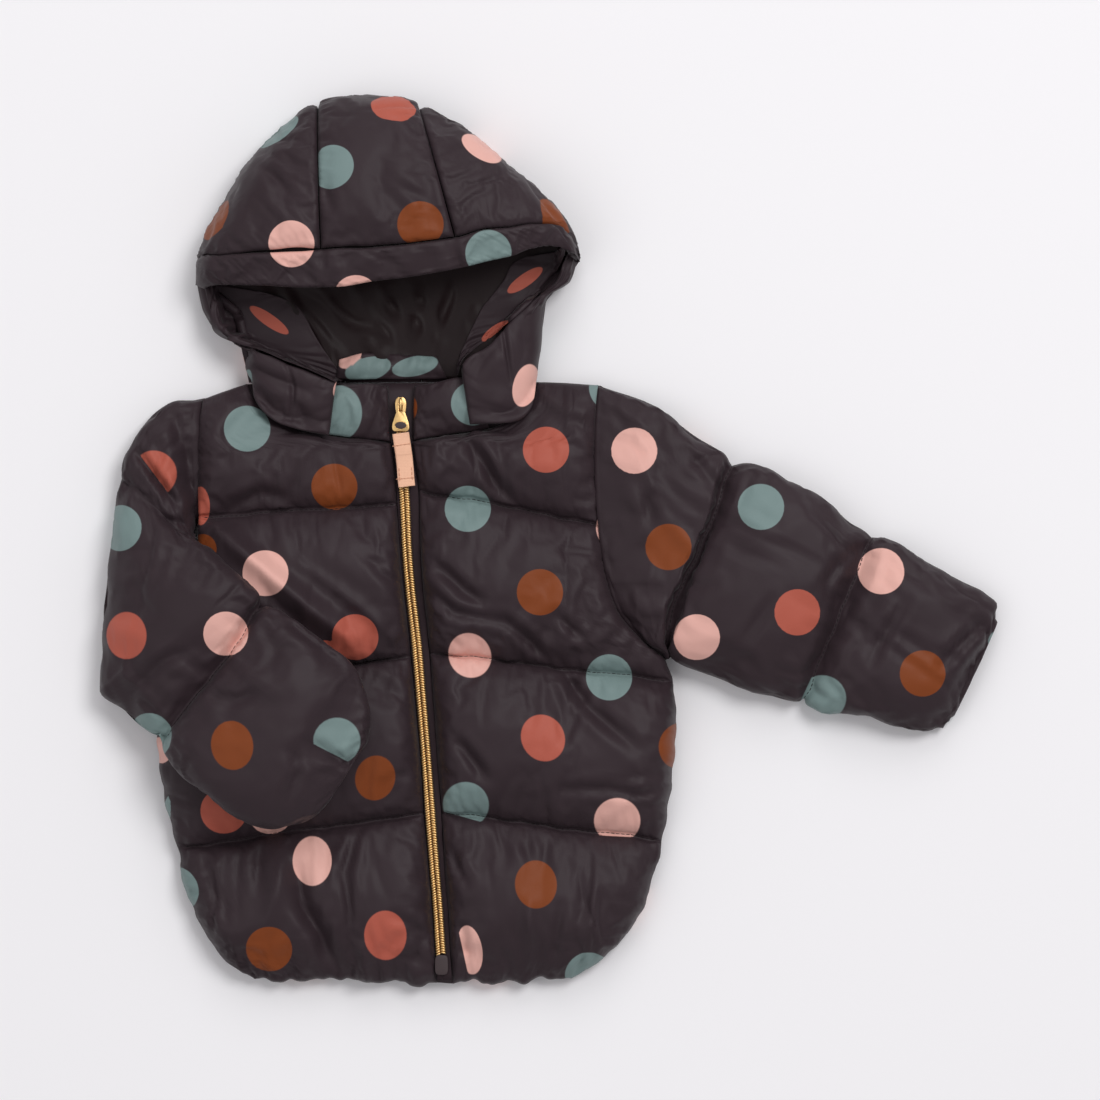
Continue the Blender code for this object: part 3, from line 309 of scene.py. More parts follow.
def puckers(s, d, seed, tall=1.0, reach=1.0):
    """Gathers that start at a line of stitching: s runs along it and d away from it, in millimetres.

    Close to the line they are short and fine, and further away they join into fewer, broader ones."""
    height = 0.0
    for k, (wave, far, size) in enumerate(((4.6, 5.0, 0.4), (8.5, 11.0, 0.8), (17.0, 26.0, 1.3))):
        lean = noise(s / 40, seed * 7.7, seed + 5) * d * 0.5
        n = noise((s + lean) / wave, d / (wave * 3.2) + 11.0 * k, seed + k)
        patch = 0.55 + 0.6 * noise(s / 29, 3.1 * k, seed + 20 + k)
        billow = np.sqrt(n * n + 0.006) * 2.0 - 0.62
        height = height + size * np.clip(patch, 0.1, 1.2) * billow * np.exp(-(d / (far * reach)) ** 1.5)
    return tall * height * (1 - np.exp(-(d / 1.2) ** 2))


def creases(x, y, table):
    """Height of creases: each row is its depth (below 0 for a ridge), its half width and its points."""
    height = np.zeros(np.shape(x))
    for deep, wide, *points in table:
        line = np.array([at(*p) for p in zip(points[::2], points[1::2])])
        part = length(np.diff(line, axis=0))
        ends = np.concatenate(((0.0,), np.cumsum(part))) / part.sum()
        nearest, place = np.full(np.shape(x), 1e9), np.zeros(np.shape(x))
        for k in range(len(part)):
            x0, y0 = line[k]
            dx, dy = line[k + 1] - line[k]
            t = np.clip(((x - x0) * dx + (y - y0) * dy) / part[k] ** 2, 0, 1)
            away = np.hypot(x - x0 - t * dx, y - y0 - t * dy)
            place = np.where(away < nearest, blend(ends[k], ends[k + 1], t), place)
            nearest = np.minimum(nearest, away)
        taper = np.sin(math.pi * np.clip(0.08 + 0.84 * place, 0, 1)) ** 0.7
        valley = np.exp(-(nearest / wide) ** 1.5) - 0.4 * np.exp(-((nearest - 2.2 * wide) / (1.2 * wide)) ** 2)
        height -= deep * taper * valley
    return height


def lumps(x, y, seed, tall=1.0):
    """Unevenness of the padding."""
    broad = noise(x / 44, y / 34, seed) * 1.1
    middle = noise(x / 21 + 4.4, y / 17, seed + 1) * 0.55
    fine = noise(x / 10, y / 9 + 2.2, seed + 2) * 0.16
    return tall * (broad + middle + fine)


def at(px, py):
    """A place of the 1100-pixel photograph, in millimetres."""
    return np.array(((px - 550.0) * 0.6, (539.0 - py) * 0.6))


# ---------------------------------------------------------------- grids and meshes

def normals_of(grid, inner, around=False):
    """Unit normals of a grid, whose columns may run all round, pointing away from the inner one."""
    across = np.roll(grid, -1, axis=1) - np.roll(grid, 1, axis=1) if around else np.gradient(grid, axis=1)
    normal = np.cross(across, np.gradient(grid, axis=0))
    normal /= np.maximum(length(normal), 1e-9)[..., None]
    if ((grid - inner) * normal).sum() < 0:
        normal = -normal
    return normal


def raised(outer, inner, height, least=0.9):
    """The outer grid moved along its normals, and kept at least so far from the inner one."""
    normal = normals_of(outer, inner)
    room = ((outer - inner) * normal).sum(axis=-1)
    return outer + normal * np.maximum(height, least - room)[..., None]


def run_of(grid, axis):
    """Distance along the grid from its first row or column, in millimetres."""
    step = length(np.diff(grid, axis=axis))
    start = np.zeros_like(np.take(step, [0], axis=axis))
    return np.concatenate((start, np.cumsum(step, axis=axis)), axis=axis)


def edges_of(grid):
    """Distances from the first column, last column, first row and last row."""
    across, down = run_of(grid, 1), run_of(grid, 0)
    return across, across[:, -1:] - across, down, down[-1:] - down


def wall_faces(rows, columns):
    """Quads of two grids, one above the other, and of the rim between them."""
    index = np.arange(rows * columns).reshape(rows, columns)
    under = index + rows * columns
    top = np.stack((index[:-1, :-1], index[1:, :-1], index[1:, 1:], index[:-1, 1:]), axis=-1).reshape(-1, 4)
    low = np.stack((under[:-1, :-1], under[:-1, 1:], under[1:, 1:], under[1:, :-1]), axis=-1).reshape(-1, 4)
    rim = np.concatenate((index[0], index[1:, -1], index[-1, -2::-1], index[-2:0:-1, 0]))
    on = np.roll(rim, -1)
    side = np.stack((rim, on, on + rows * columns, rim + rows * columns), axis=-1)
    return np.concatenate((top, low, side))


def tube_faces(rings, around):
    """Quads between rings of points."""
    index = np.arange(rings * around).reshape(rings, around)
    on = np.roll(index, -1, axis=1)
    return np.stack((index[:-1], on[:-1], on[1:], index[1:]), axis=-1).reshape(-1, 4)


def stitched_rows(marks, coarse, near=(0.7, 1.5, 2.5, 3.8)):
    """Places along a piece: closer together beside each line of stitching, which is one of them."""
    places = []
    for a, b in zip(marks, marks[1:]):
        count = int((b - a - 2 * near[-1]) / coarse) + 2
        places += [a, *(a + n for n in near), *np.linspace(a + near[-1], b - near[-1], count)[1:-1],
                   *(b - n for n in near[::-1])]
    return np.array([*places, marks[-1]])


def mesh_from(name, points, faces):
    """A mesh from points in millimetres."""
    mesh = bpy.data.meshes.new(name)
    mesh.from_pydata((np.asarray(points, float) * MM).tolist(), [], faces)
    return mesh


def placed(mesh, look):
    """The object of a finished mesh, smooth and in the scene."""
    mesh.materials.append(looks[look])
    mesh.polygons.foreach_set("use_smooth", np.ones(len(mesh.polygons), bool))
    mesh.update()
    thing = bpy.data.objects.new(mesh.name, mesh)
    bpy.context.scene.collection.objects.link(thing)
    return thing


def hand_over(thing, body, slot, *nodes):
    """Says what a piece rides on and hides the CAD nodes that it stands for; its material slot is not used."""
    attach(thing, body)
    if nodes:
        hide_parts(*nodes)
    return thing


def wall(name, top, low, look, body, slot, *nodes):
    """A sheet or a padded wall between two grids, with its faces turned outwards."""
    points, faces = np.concatenate((top.reshape(-1, 3), low.reshape(-1, 3))), wall_faces(*top.shape[:2])
    corner = points[faces]
    normal = np.cross(corner[:, 2] - corner[:, 0], corner[:, 3] - corner[:, 1])
    if (normal * (corner.mean(axis=1) - points.mean(axis=0))).sum() < 0:
        faces = faces[:, ::-1]
    return hand_over(placed(mesh_from(name, points, faces.tolist()), look), body, slot, *nodes)


def places_of(thing):
    """A piece's points, in metres."""
    place = np.empty(len(thing.data.vertices) * 3)
    thing.data.vertices.foreach_get("co", place)
    return place.reshape(-1, 3)


def move_points(thing, place):
    """New places for a piece's points, none below the floor."""
    place[:, 2] = np.maximum(place[:, 2], 0.0)
    thing.data.vertices.foreach_set("co", place.ravel())
    thing.data.update()


def print_on(thing, spots, hidden=None):
    """Gives the cloth its print: how far each point is from the nearest dot's edge, and that dot's colour.

    A spot is its place on the photograph, colour, radius, how narrow it shows and the direction of its
    length, and where a fold cuts it: a place on the cut and the direction of what stays in sight.
    Points in hidden take an even scatter of dots instead."""
    points = places_of(thing) * 1000
    count = len(points)
    reach, colours = np.full(count, 99.0), np.zeros(count, int)
    centres = []

    def lay(away, colour, where=True):
        nonlocal reach, colours
        nearer = (away < reach) & where
        colours = np.where(nearer, colour, colours)
        reach = np.where(nearer, away, reach)

    depth = 0.8 if thing.name.startswith("hood") else 0.22
    for px, py, colour, *shape in spots:
        x, y = at(px, py)
        radius = shape[0] if shape else DOT_RADIUS
        dx, dy = points[:, 0] - x, points[:, 1] - y
        away = np.hypot(dx, dy)
        z = points[away < max(away.min() + 1.5, 2.5), 2].max()
        if len(shape) > 1:
            turn = math.radians(shape[2])
            long_way = dx * math.cos(turn) + dy * math.sin(turn)
            short_way = (dy * math.cos(turn) - dx * math.sin(turn)) / shape[1]
            edge = (np.hypot(long_way, short_way) - radius) * 0.6
        else:
            centres.append((x, y, z))
            edge = np.sqrt(dx**2 + dy**2 + (depth * (points[:, 2] - z)) ** 2) - radius
        if len(shape) > 3:
            (cut_x, cut_y), kept = at(*shape[3:5]), math.radians(shape[5])
            inside = (points[:, 0] - cut_x) * math.cos(kept) + (points[:, 1] - cut_y) * math.sin(kept)
            edge = np.maximum(edge, -inside)
        lay(edge, colour)
    if hidden is None:
        hidden = np.zeros(count, bool)
    if hidden.any():
        low, high = points[hidden].min(axis=0), points[hidden].max(axis=0)
        for row in range(-8, 9):
            for column in range(-8, 9):
                angle = lattice(np.int64(row), np.int64(column), 77)
                x = (column + 0.5 * (row % 2)) * DOT_SPACING + 9 * math.cos(angle)
                y = row * DOT_SPACING * 0.87 + 9 * math.sin(angle)
                if not (low[0] < x < high[0] and low[1] < y < high[1]):
                    continue
                away = np.hypot(points[:, 0] - x, points[:, 1] - y) + 99 * ~hidden
                if away.min() > 4:
                    continue
                here = points[np.argmin(away)]
                if all(length(here - np.array(c)) > 34 for c in centres):
                    lay(length(points - here) - DOT_RADIUS, (row * 2 + column) % 4, hidden)
    thing.data.attributes.new("dot_edge", "FLOAT", "POINT").data.foreach_set("value", reach)
    shades = np.array([(*colour, 1.0) for colour in DOT_COLOURS])[colours]
    thing.data.attributes.new("dot_colour", "FLOAT_COLOR", "POINT").data.foreach_set("color", shades.ravel())


padded_cloth = []  # what the simulation fills: a piece, how firmly each point is sewn, how far it may move, and
# the share of its sideways movement that is kept
printed_cloth = []  # pieces, their dots, and which of their points are on a side that the photograph doesn't show
pressed_cloth = []  # pieces, how far each point takes their creases, and the creases
sewing = []  # rows of stitches: name, piece, the points that they run along
WALL_SIDEWAYS, SLEEVE_SIDEWAYS = 0.7, 0.4
SIM_FRAMES, SIM_PRESSURE, SIM_SLACK = 12, 3.0, 0.06
SIM_CLOTH = {"quality": 4, "mass": 0.15, "tension_stiffness": 12, "compression_stiffness": 12,
             "shear_stiffness": 4, "bending_stiffness": 0.02, "air_damping": 2, "vertex_group_mass": "sewn",
             "pin_stiffness": 1.0, "use_pressure": True}
CREASE_DEEPER, CREASE_NARROWER = 1.7, 0.72  # of creases pressed into filled cloth


def shell_piece(name, outer, inner, nodes, spots=(), sewn=None, give=6.0, hidden=None):
    """A padded wall between two grids that stands for CAD nodes; sewn holds down points of its outside."""
    shape = outer.shape[:2]
    inside = np.zeros(shape[0] * shape[1])
    thing = wall(name + "_cloth", outer, inner, "shell", "jacket", "shell", *nodes)
    if hidden is not None:
        hidden = np.concatenate((np.broadcast_to(hidden, shape).ravel(), inside > 0))
    printed_cloth.append((thing, spots, hidden))
    if sewn is not None:
        firm = np.broadcast_to(sewn, shape).copy()
        firm[[0, -1]] = 1
        firm[:, [0, -1]] = 1
        padded_cloth.append((thing, np.concatenate((firm.ravel(), inside + 1)), give, WALL_SIDEWAYS))
    return thing


def firmness(away, near=1.0, far=4.5):
    """1 at a line of stitching, falling to 0."""
    return np.clip((far - away) / (far - near), 0, 1) ** 1.5


def fill_with_padding(frames, pressure, slack):
    """Cloth simulation: the air in the padding presses the slack cloth out between its seams."""
    for thing, firm, give, sideways in padded_cloth:
        group = thing.vertex_groups.new(name="sewn")
        steps = np.round(firm * 20) / 20
        for weight in np.unique(steps):
            if weight > 0:
                group.add(np.nonzero(steps == weight)[0].tolist(), float(weight), "REPLACE")
        modifier = thing.modifiers.new("padding", "CLOTH")
        for key, value in {**SIM_CLOTH, "uniform_pressure_force": pressure, "shrink_min": -slack}.items():
            setattr(modifier.settings, key, value)
        modifier.settings.effector_weights.gravity = 0
        modifier.collision_settings.use_collision = False
    before = [places_of(thing) for thing, *_ in padded_cloth]
    for number in range(1, frames + 1):
        bpy.context.scene.frame_set(number)
    graph = bpy.context.evaluated_depsgraph_get()
    after = [places_of(thing.evaluated_get(graph)) for thing, *_ in padded_cloth]
    for (thing, firm, give, sideways), start, end in zip(padded_cloth, before, after):
        change = end - start
        far = length(change)[:, None] * 1000
        change *= give * np.tanh(far / give) / np.maximum(far, 1e-6)
        change = np.where(np.isfinite(change), change, 0.0) * (sideways, sideways, 1.0)
        thing.modifiers.remove(thing.modifiers["padding"])
        thing.vertex_groups.remove(thing.vertex_groups["sewn"])
        move_points(thing, start + change)
    bpy.context.scene.frame_set(1)


# ---------------------------------------------------------------- what the photograph shows

TEAL, PINK, BRICK, BROWN = range(4)
DOT_COLOURS = ((0.166, 0.230, 0.224), (0.71, 0.40, 0.345), (0.395, 0.092, 0.061), (0.190, 0.044, 0.010))
DOT_RADIUS = 13.8
DOT_SPACING = 62.0  # on the sides that the photograph doesn't show

# Dots: place on the photograph, colour
RIGHT_FRONT_DOTS = (
    (248, 429, TEAL), (335, 487, BROWN), (267, 573, PINK), (356, 637, BRICK), (326, 655, BRICK, 9),
    (376, 777, BROWN, 13.6, 0.87, 75), (225, 810, BRICK), (271, 813, PINK, 12.8), (313, 860, PINK, 14.6, 0.8, 90),
    (270, 948, BROWN), (386, 934, BRICK, 15.0, 0.84, 90), (177, 890, TEAL), (201, 506, BRICK, 11.5, 0.5, 90),
    (203, 549, BROWN, 9), (160, 750, PINK, 8), (167, 812, TEAL, 10, 0.25, 82),
)
LEFT_FRONT_DOTS = (
    (546, 450, BRICK), (468, 509, TEAL), (540, 592, BROWN), (470, 655, PINK, 13.6, 0.92, 120), (609, 677, TEAL),
    (543, 737, BRICK, 14.2, 0.9, 120), (466, 804, TEAL, 13.8, 1, 0, 465, 817, 75),
    (617, 820, PINK, 13.8, 1, 0, 618, 836, 87), (536, 883, BROWN, 14.2, 0.88, 95), (588, 974, TEAL),
    (470, 949, PINK, 15.0, 0.5, 98, 463, 949, 12), (680, 746, BROWN), (619, 528, PINK), (612, 388, TEAL),
)
LEFT_SLEEVE_DOTS = (
    (634, 451, PINK), (668, 547, BROWN), (696, 637, PINK), (760, 507, TEAL), (796, 612, BRICK),
    (880, 571, PINK), (921, 673, BROWN), (822, 698, TEAL, 13.8, 1, 0, 801, 700, -24), (998, 641, TEAL, 6),
)
RIGHT_SLEEVE_DOTS = (
    (155, 474, BRICK, 13.8, 1, 0, 158, 478, 37), (121, 528, TEAL), (129, 635, BRICK, 14.0, 0.9, 90),
    (229, 633, PINK, 13.2), (236, 743, BROWN, 14.6, 0.86, 100), (339, 739, TEAL, 13.8, 1, 0, 333, 751, 62),
    (152, 735, TEAL),
)
HOOD_CENTRE_DOTS = ((333, 170, TEAL), (395, 106, BRICK), (422, 228, BROWN))
HOOD_RIGHT_DOTS = ((279, 133, TEAL, 14.5, 0.38, 36), (214, 219, BROWN), (294, 247, PINK))
HOOD_LEFT_DOTS = ((482, 151, PINK, 13.4, 0.48, -33), (558, 217, BROWN))
HOOD_BAND_DOTS = ((294, 247, PINK), (489, 256, TEAL), (358, 301, PINK))
RIGHT_FACING_DOTS = ((269, 320, BRICK, 14, 0.26, -35),)
LEFT_FACING_DOTS = ((525, 280, BRICK, 12.6, 0.3, 35), (495, 331, BRICK, 9.6, 0.32, 36))
RIGHT_WING_DOTS = ((247, 383, TEAL, 8, 0.4, 80), (338, 389, PINK, 5, 0.4, 75))
LEFT_WING_DOTS = ((526, 386, PINK, 13, 0.58, 74),)
RIGHT_COLLAR_DOTS = ((339, 413, TEAL, 16.4, 0.86, 90),)
LEFT_COLLAR_DOTS = ((473, 404, TEAL, 13.0), (412, 408, BROWN, 6.5, 0.5, 90))
BACK_COLLAR_DOTS = ((350, 358, PINK, 8, 0.6, 40), (368, 369, TEAL, 14, 0.5, 14), (415, 366, TEAL, 14, 0.42, 12))

# Creases: depth (a ridge is below 0), half width, then places on the photograph
LEFT_FRONT_CREASES = (
    (2.2, 4.5, 465, 435, 500, 490, 527, 512),
    (1.2, 3.5, 495, 435, 510, 490),
    (2.0, 4.0, 436, 564, 463, 589, 480, 600),
    (2.4, 4.0, 425, 587, 455, 612, 505, 622),
    (2.4, 4.0, 505, 620, 530, 641, 549, 662),
    (1.8, 3.5, 558, 616, 583, 639),
    (2.2, 4.0, 556, 654, 579, 698),
    (2.6, 4.5, 570, 681, 590, 709, 611, 727, 632, 743),
    (2.0, 4.0, 561, 789, 607, 787, 648, 798),
    (1.2, 3.0, 630, 793, 664, 791),
    (1.8, 4.0, 455, 736, 487, 778),
    (1.6, 3.5, 524, 840, 530, 858),
    (2.2, 4.0, 448, 847, 467, 883),
    (1.8, 4.0, 462, 925, 469, 961),
    (-2.0, 5.0, 529, 900, 531, 960),
    (-1.8, 5.0, 595, 880, 590, 935),
    (1.6, 4.0, 560, 905, 553, 965),
)
RIGHT_FRONT_CREASES = (
    (-2.6, 6.0, 209, 521, 290, 590, 350, 640),
    (-2.0, 5.0, 300, 560, 365, 610, 395, 640),
    (2.0, 4.0, 225, 512, 262, 492, 285, 500),
    (3.0, 5.5, 300, 870, 303, 905, 320, 930, 340, 975),
    (-2.4, 6.0, 285, 855, 270, 920),
    (2.0, 4.5, 262, 845, 258, 885),
    (2.0, 4.0, 395, 915, 425, 930, 415, 965),
    (2.2, 4.0, 360, 825, 345, 870, 352, 920),
    (1.5, 4.0, 230, 590, 290, 640, 330, 665),
    (1.4, 3.5, 370, 560, 395, 585),
    (1.6, 4.0, 205, 860, 222, 905),
)
LEFT_SLEEVE_CREASES = (
    (2.0, 4.0, 639, 487, 653, 520),
    (1.8, 4.0, 630, 588, 667, 589),
    (1.6, 3.5, 747, 657, 757, 677),
    (1.8, 4.0, 690, 455, 712, 480, 722, 490),
    (2.0, 4.5, 856, 548, 830, 575),
    (1.8, 4.0, 905, 600, 880, 640, 868, 665),
    (2.6, 4.0, 985, 620, 956, 647, 940, 665),
    (2.2, 3.5, 990, 640, 973, 663, 955, 690),
    (1.6, 4.0, 770, 600, 745, 640),
)
RIGHT_SLEEVE_CREASES = (
    (2.0, 4.0, 115, 507, 129, 484),
    (3.6, 3.2, 138, 452, 158, 478, 178, 504),
    (1.4, 3.0, 160, 518, 190, 525),
    (3.4, 6.0, 175, 408, 185, 450, 192, 500, 195, 528),
    (3.6, 3.6, 312, 738, 333, 753, 350, 761, 361, 744),
    (2.4, 5.0, 285, 617, 310, 635, 330, 653, 345, 665),
    (1.8, 4.0, 205, 690, 240, 700, 262, 690),
    (1.8, 4.0, 290, 800, 300, 770, 296, 745),
    (2.0, 4.5, 135, 690, 165, 660, 190, 650),
)
HOOD_CREASES = (
    (1.6, 4.0, 400, 120, 420, 140),
    (1.6, 4.0, 405, 190, 425, 205),
    (1.4, 3.5, 325, 185, 335, 215),
    (1.4, 4.0, 260, 165, 285, 190),
    (1.4, 4.0, 505, 175, 520, 205),
    (1.2, 3.0, 320, 255, 330, 272, 335, 290),
    (1.4, 3.0, 445, 245, 456, 262, 463, 280),
)
LINING_CREASES = (
    (5.0, 4.0, 300, 292, 340, 330, 366, 352),
    (5.0, 4.5, 338, 296, 372, 325, 392, 350),
    (4.5, 3.5, 372, 300, 396, 332, 402, 350),
    (5.0, 4.0, 405, 296, 404, 330, 408, 352),
    (4.5, 4.0, 436, 296, 428, 325, 420, 352),
    (4.5, 4.0, 468, 292, 446, 325, 432, 350),
    (3.5, 3.0, 392, 296, 428, 318, 440, 330),
    (3.0, 3.0, 352, 330, 372, 336, 384, 346),
    (-3.0, 5.0, 355, 305, 382, 345),
    (-3.0, 5.0, 452, 300, 434, 345),
)
# Seams of the hood's sides
RIGHT_WING_SEAMS = ((288, 366, 293, 380, 294, 396, 291, 424),)
LEFT_WING_SEAMS = ((503, 326, 506, 345, 509, 365, 512, 384),)
# Where the hood's right side is drawn in: y, over what height, how far
RIGHT_WAIST = (((539.0 - 350) * 0.6, 8.0, 5.5), ((539.0 - 382) * 0.6, 8.0, 3.0))
# How far the facing is turned out over the opening's edge
RIGHT_FACING_EDGE = ((216, 284), (213, 300), (211, 316), (214, 331), (227, 340), (241, 345), (262, 351), (285, 361),
                     (306, 369), (322, 376), (337, 383))
LEFT_FACING_EDGE = ((566, 250), (562, 262), (553, 276), (543, 289), (532, 302), (519, 315), (504, 327), (490, 338),
                    (474, 349), (462, 363), (457, 378))
RIGHT_FLANK_CREASES = (
    (2.6, 3.0, 243, 367, 262, 374, 290, 385, 312, 394),
    (1.8, 3.0, 215, 312, 245, 332),
    (1.6, 3.0, 262, 392, 272, 410, 280, 420),
    (1.8, 3.0, 296, 400, 301, 414, 306, 424),
    (-1.4, 4.0, 320, 398, 322, 425),
    (1.2, 3.0, 280, 400, 284, 416),
)
LEFT_FLANK_CREASES = (
    (1.8, 3.0, 475, 378, 484, 360, 497, 346),
    (1.6, 3.0, 472, 366, 480, 352, 494, 342),
    (1.5, 4.0, 522, 330, 524, 352, 519, 372),
    (-1.2, 5.0, 490, 400, 505, 405),
)


# ---------------------------------------------------------------- materials

def principled(name, colour, roughness, metallic=0.0, **more):
    made = bpy.data.materials.new(name)
    made.use_nodes = True
    shader = made.node_tree.nodes["Principled BSDF"]
    shader.inputs["Base Color"].default_value = (*colour, 1.0)
    shader.inputs["Roughness"].default_value = roughness
    shader.inputs["Metallic"].default_value = metallic
    for socket, value in more.items():
        shader.inputs[socket.replace("_", " ")].default_value = value
    return made, made.node_tree, shader


def node(tree, kind, **settings):
    made = tree.nodes.new(kind)
    for key, value in settings.items():
        if key in made.inputs:
            made.inputs[key].default_value = value
        else:
            setattr(made, key, value)
    return made


def mixed(tree, factor, first, second):
    """A colour mix; each of its three may be a socket or a value."""
    mix = node(tree, "ShaderNodeMix", data_type="RGBA")
    for socket, value in ((mix.inputs[0], factor), (mix.inputs[6], first), (mix.inputs[7], second)):
        if hasattr(value, "is_linked"):
            tree.links.new(value, socket)
        else:
            socket.default_value = value
    return mix.outputs[2]


def weave_bump(tree, shader, spacing, strength, coarse=0.0):
    """Two crossed sets of threads, in metres, and some slub."""
    place = node(tree, "ShaderNodeTexCoord")
    heights = []
    for direction in ("X", "Y"):
        wave = node(tree, "ShaderNodeTexWave", bands_direction=direction, Scale=0.314 / spacing, Distortion=0.6)
        wave.inputs["Detail"].default_value = 1.0
        tree.links.new(place.outputs["Object"], wave.inputs["Vector"])
        heights.append(wave.outputs["Fac"])
    add = node(tree, "ShaderNodeMath", operation="ADD")
    tree.links.new(heights[0], add.inputs[0])
    tree.links.new(heights[1], add.inputs[1])
    total = add.outputs[0]
    if coarse:
        slub = node(tree, "ShaderNodeTexNoise", Scale=260.0, Detail=3.0)
        tree.links.new(place.outputs["Object"], slub.inputs["Vector"])
        more = node(tree, "ShaderNodeMath", operation="MULTIPLY_ADD")
        more.inputs[1].default_value = coarse
        tree.links.new(slub.outputs["Fac"], more.inputs[0])
        tree.links.new(total, more.inputs[2])
        total = more.outputs[0]
    bump = node(tree, "ShaderNodeBump", Strength=strength, Distance=0.0002)
    tree.links.new(total, bump.inputs["Height"])
    tree.links.new(bump.outputs[0], shader.inputs["Normal"])
    return place


def shell_cloth():
    """Dark shiny nylon with its printed dots."""
    made, tree, shader = principled("dotted_nylon", (0.03, 0.02, 0.023), 0.5, Specular_IOR_Level=0.17)
    place = weave_bump(tree, shader, 0.0005, 0.12, 1.2)
    cloud = node(tree, "ShaderNodeTexNoise", Scale=22.0, Detail=2.0)
    tree.links.new(place.outputs["Object"], cloud.inputs["Vector"])
    ground = mixed(tree, cloud.outputs["Fac"], (0.0260, 0.0160, 0.0195, 1), (0.0345, 0.0222, 0.0268, 1))
    edge = node(tree, "ShaderNodeAttribute", attribute_name="dot_edge")
    colour = node(tree, "ShaderNodeAttribute", attribute_name="dot_colour")
    soft = node(tree, "ShaderNodeMapRange")
    for socket, value in (("From Min", -0.2), ("From Max", 0.25), ("To Min", 1.0), ("To Max", 0.0)):
        soft.inputs[socket].default_value = value
    tree.links.new(edge.outputs["Fac"], soft.inputs["Value"])
    printed = mixed(tree, soft.outputs["Result"], ground, colour.outputs["Color"])
    tree.links.new(printed, shader.inputs["Base Color"])
    shader.inputs["Sheen Weight"].default_value = 0.05
    shader.inputs["Sheen Roughness"].default_value = 0.4
    return made


def plain_cloth(name, colour, roughness, spacing, strength, specular=0.3):
    made, tree, shader = principled(name, colour, roughness, Specular_IOR_Level=specular)
    place = weave_bump(tree, shader, spacing, strength, 0.8)
    cloud = node(tree, "ShaderNodeTexNoise", Scale=40.0, Detail=2.0)
    tree.links.new(place.outputs["Object"], cloud.inputs["Vector"])
    ground = mixed(tree, cloud.outputs["Fac"], (*[c * 0.85 for c in colour], 1), (*[c * 1.15 for c in colour], 1))
    tree.links.new(ground, shader.inputs["Base Color"])
    return made


def metal(name, colour, roughness, metallic=1.0):
    """Metal with fine scratches and handling marks."""
    made, tree, shader = principled(name, colour, roughness, metallic)
    place = node(tree, "ShaderNodeTexCoord")
    marks = node(tree, "ShaderNodeTexNoise", Scale=420.0, Detail=4.0)
    tree.links.new(place.outputs["Object"], marks.inputs["Vector"])
    spread = node(tree, "ShaderNodeMapRange")
    spread.inputs["To Min"].default_value = roughness - 0.08
    spread.inputs["To Max"].default_value = roughness + 0.12
    tree.links.new(marks.outputs["Fac"], spread.inputs["Value"])
    tree.links.new(spread.outputs["Result"], shader.inputs["Roughness"])
    darker, paler = [c * 0.8 for c in colour], [min(c * 1.12, 1) for c in colour]
    tone = mixed(tree, marks.outputs["Fac"], (*darker, 1), (*paler, 1))
    tree.links.new(tone, shader.inputs["Base Color"])
    bump = node(tree, "ShaderNodeBump", Strength=0.08, Distance=0.0001)
    tree.links.new(marks.outputs["Fac"], bump.inputs["Height"])
    tree.links.new(bump.outputs[0], shader.inputs["Normal"])
    return made


looks = {
    "shell": shell_cloth(),
    "lining": plain_cloth("lining_cloth", (0.0135, 0.0072, 0.0078), 0.5, 0.0005, 0.12, 0.15),
    "tape": plain_cloth("zip_tape_cloth", (0.030, 0.019, 0.0225), 0.85, 0.0007, 0.5, 0.15),
    # Thread of the quilting-line stitches: darker than the cloth, as painted shade of the seam grooves that the
    # stitches lie in
    "thread_with_painted_groove_shade": plain_cloth("thread_with_painted_groove_shade", (0.012, 0.008, 0.009), 0.6, 0.0004, 0.4, 0.2),
    "ribbon": plain_cloth("peach_ribbon", (0.80, 0.46, 0.31), 0.6, 0.0009, 0.35),
    "pale_thread": plain_cloth("pale_thread", (0.6, 0.3, 0.19), 0.6, 0.0004, 0.3),
    "brass": metal("brushed_brass", (0.83, 0.55, 0.24), 0.36),
    "dark_metal": metal("dark_metal", (0.042, 0.026, 0.028), 0.55, 0.2),
}


# ---------------------------------------------------------------- body

def channel_puff(down):
    """Height of the padding between the quilting lines, by distance down from the shoulder."""
    lines, puffs = np.array(QUILTING), np.array(PUFF)
    k = np.clip(np.searchsorted(lines, down, "right") - 1, 0, len(puffs) - 1)
    share = np.clip((down - lines[k]) / (lines[k + 1] - lines[k]), 0, 1)
    return puffs[k] * np.maximum(np.sin(math.pi * share), 0.0) ** PUFF_POWER


def fold_depth(x, y):
    """How far the largest folds press the surface in."""
    depth = 0.0
    for x0, y0, x1, y1, deep, wide in FOLDS:
        length2 = (x1 - x0) ** 2 + (y1 - y0) ** 2
        t = np.clip(((x - x0) * (x1 - x0) + (y - y0) * (y1 - y0)) / length2, 0, 1)
        away2 = (x - x0 - t * (x1 - x0)) ** 2 + (y - y0 - t * (y1 - y0)) ** 2
        depth = depth + deep * np.exp(-away2 / wide**2) * np.sin(math.pi * (0.15 + 0.7 * t))
    return depth


def armhole_share(down):
    start, end = ARMHOLE_ENDS
    return 1 - np.clip((down - start) / (end - start), 0, 1)


def inside_height(down, from_side):
    """Upper side of the back panel, falling to the seams."""
    side = blend(round_over(from_side, TOP_ROLL), 1.0, armhole_share(down))
    ends = round_over(down, 18.0) * round_over(QUILTING[-1] - down, 16.0)
    return SEAM_Z + (BACK_TOP - SEAM_Z) * side * ends


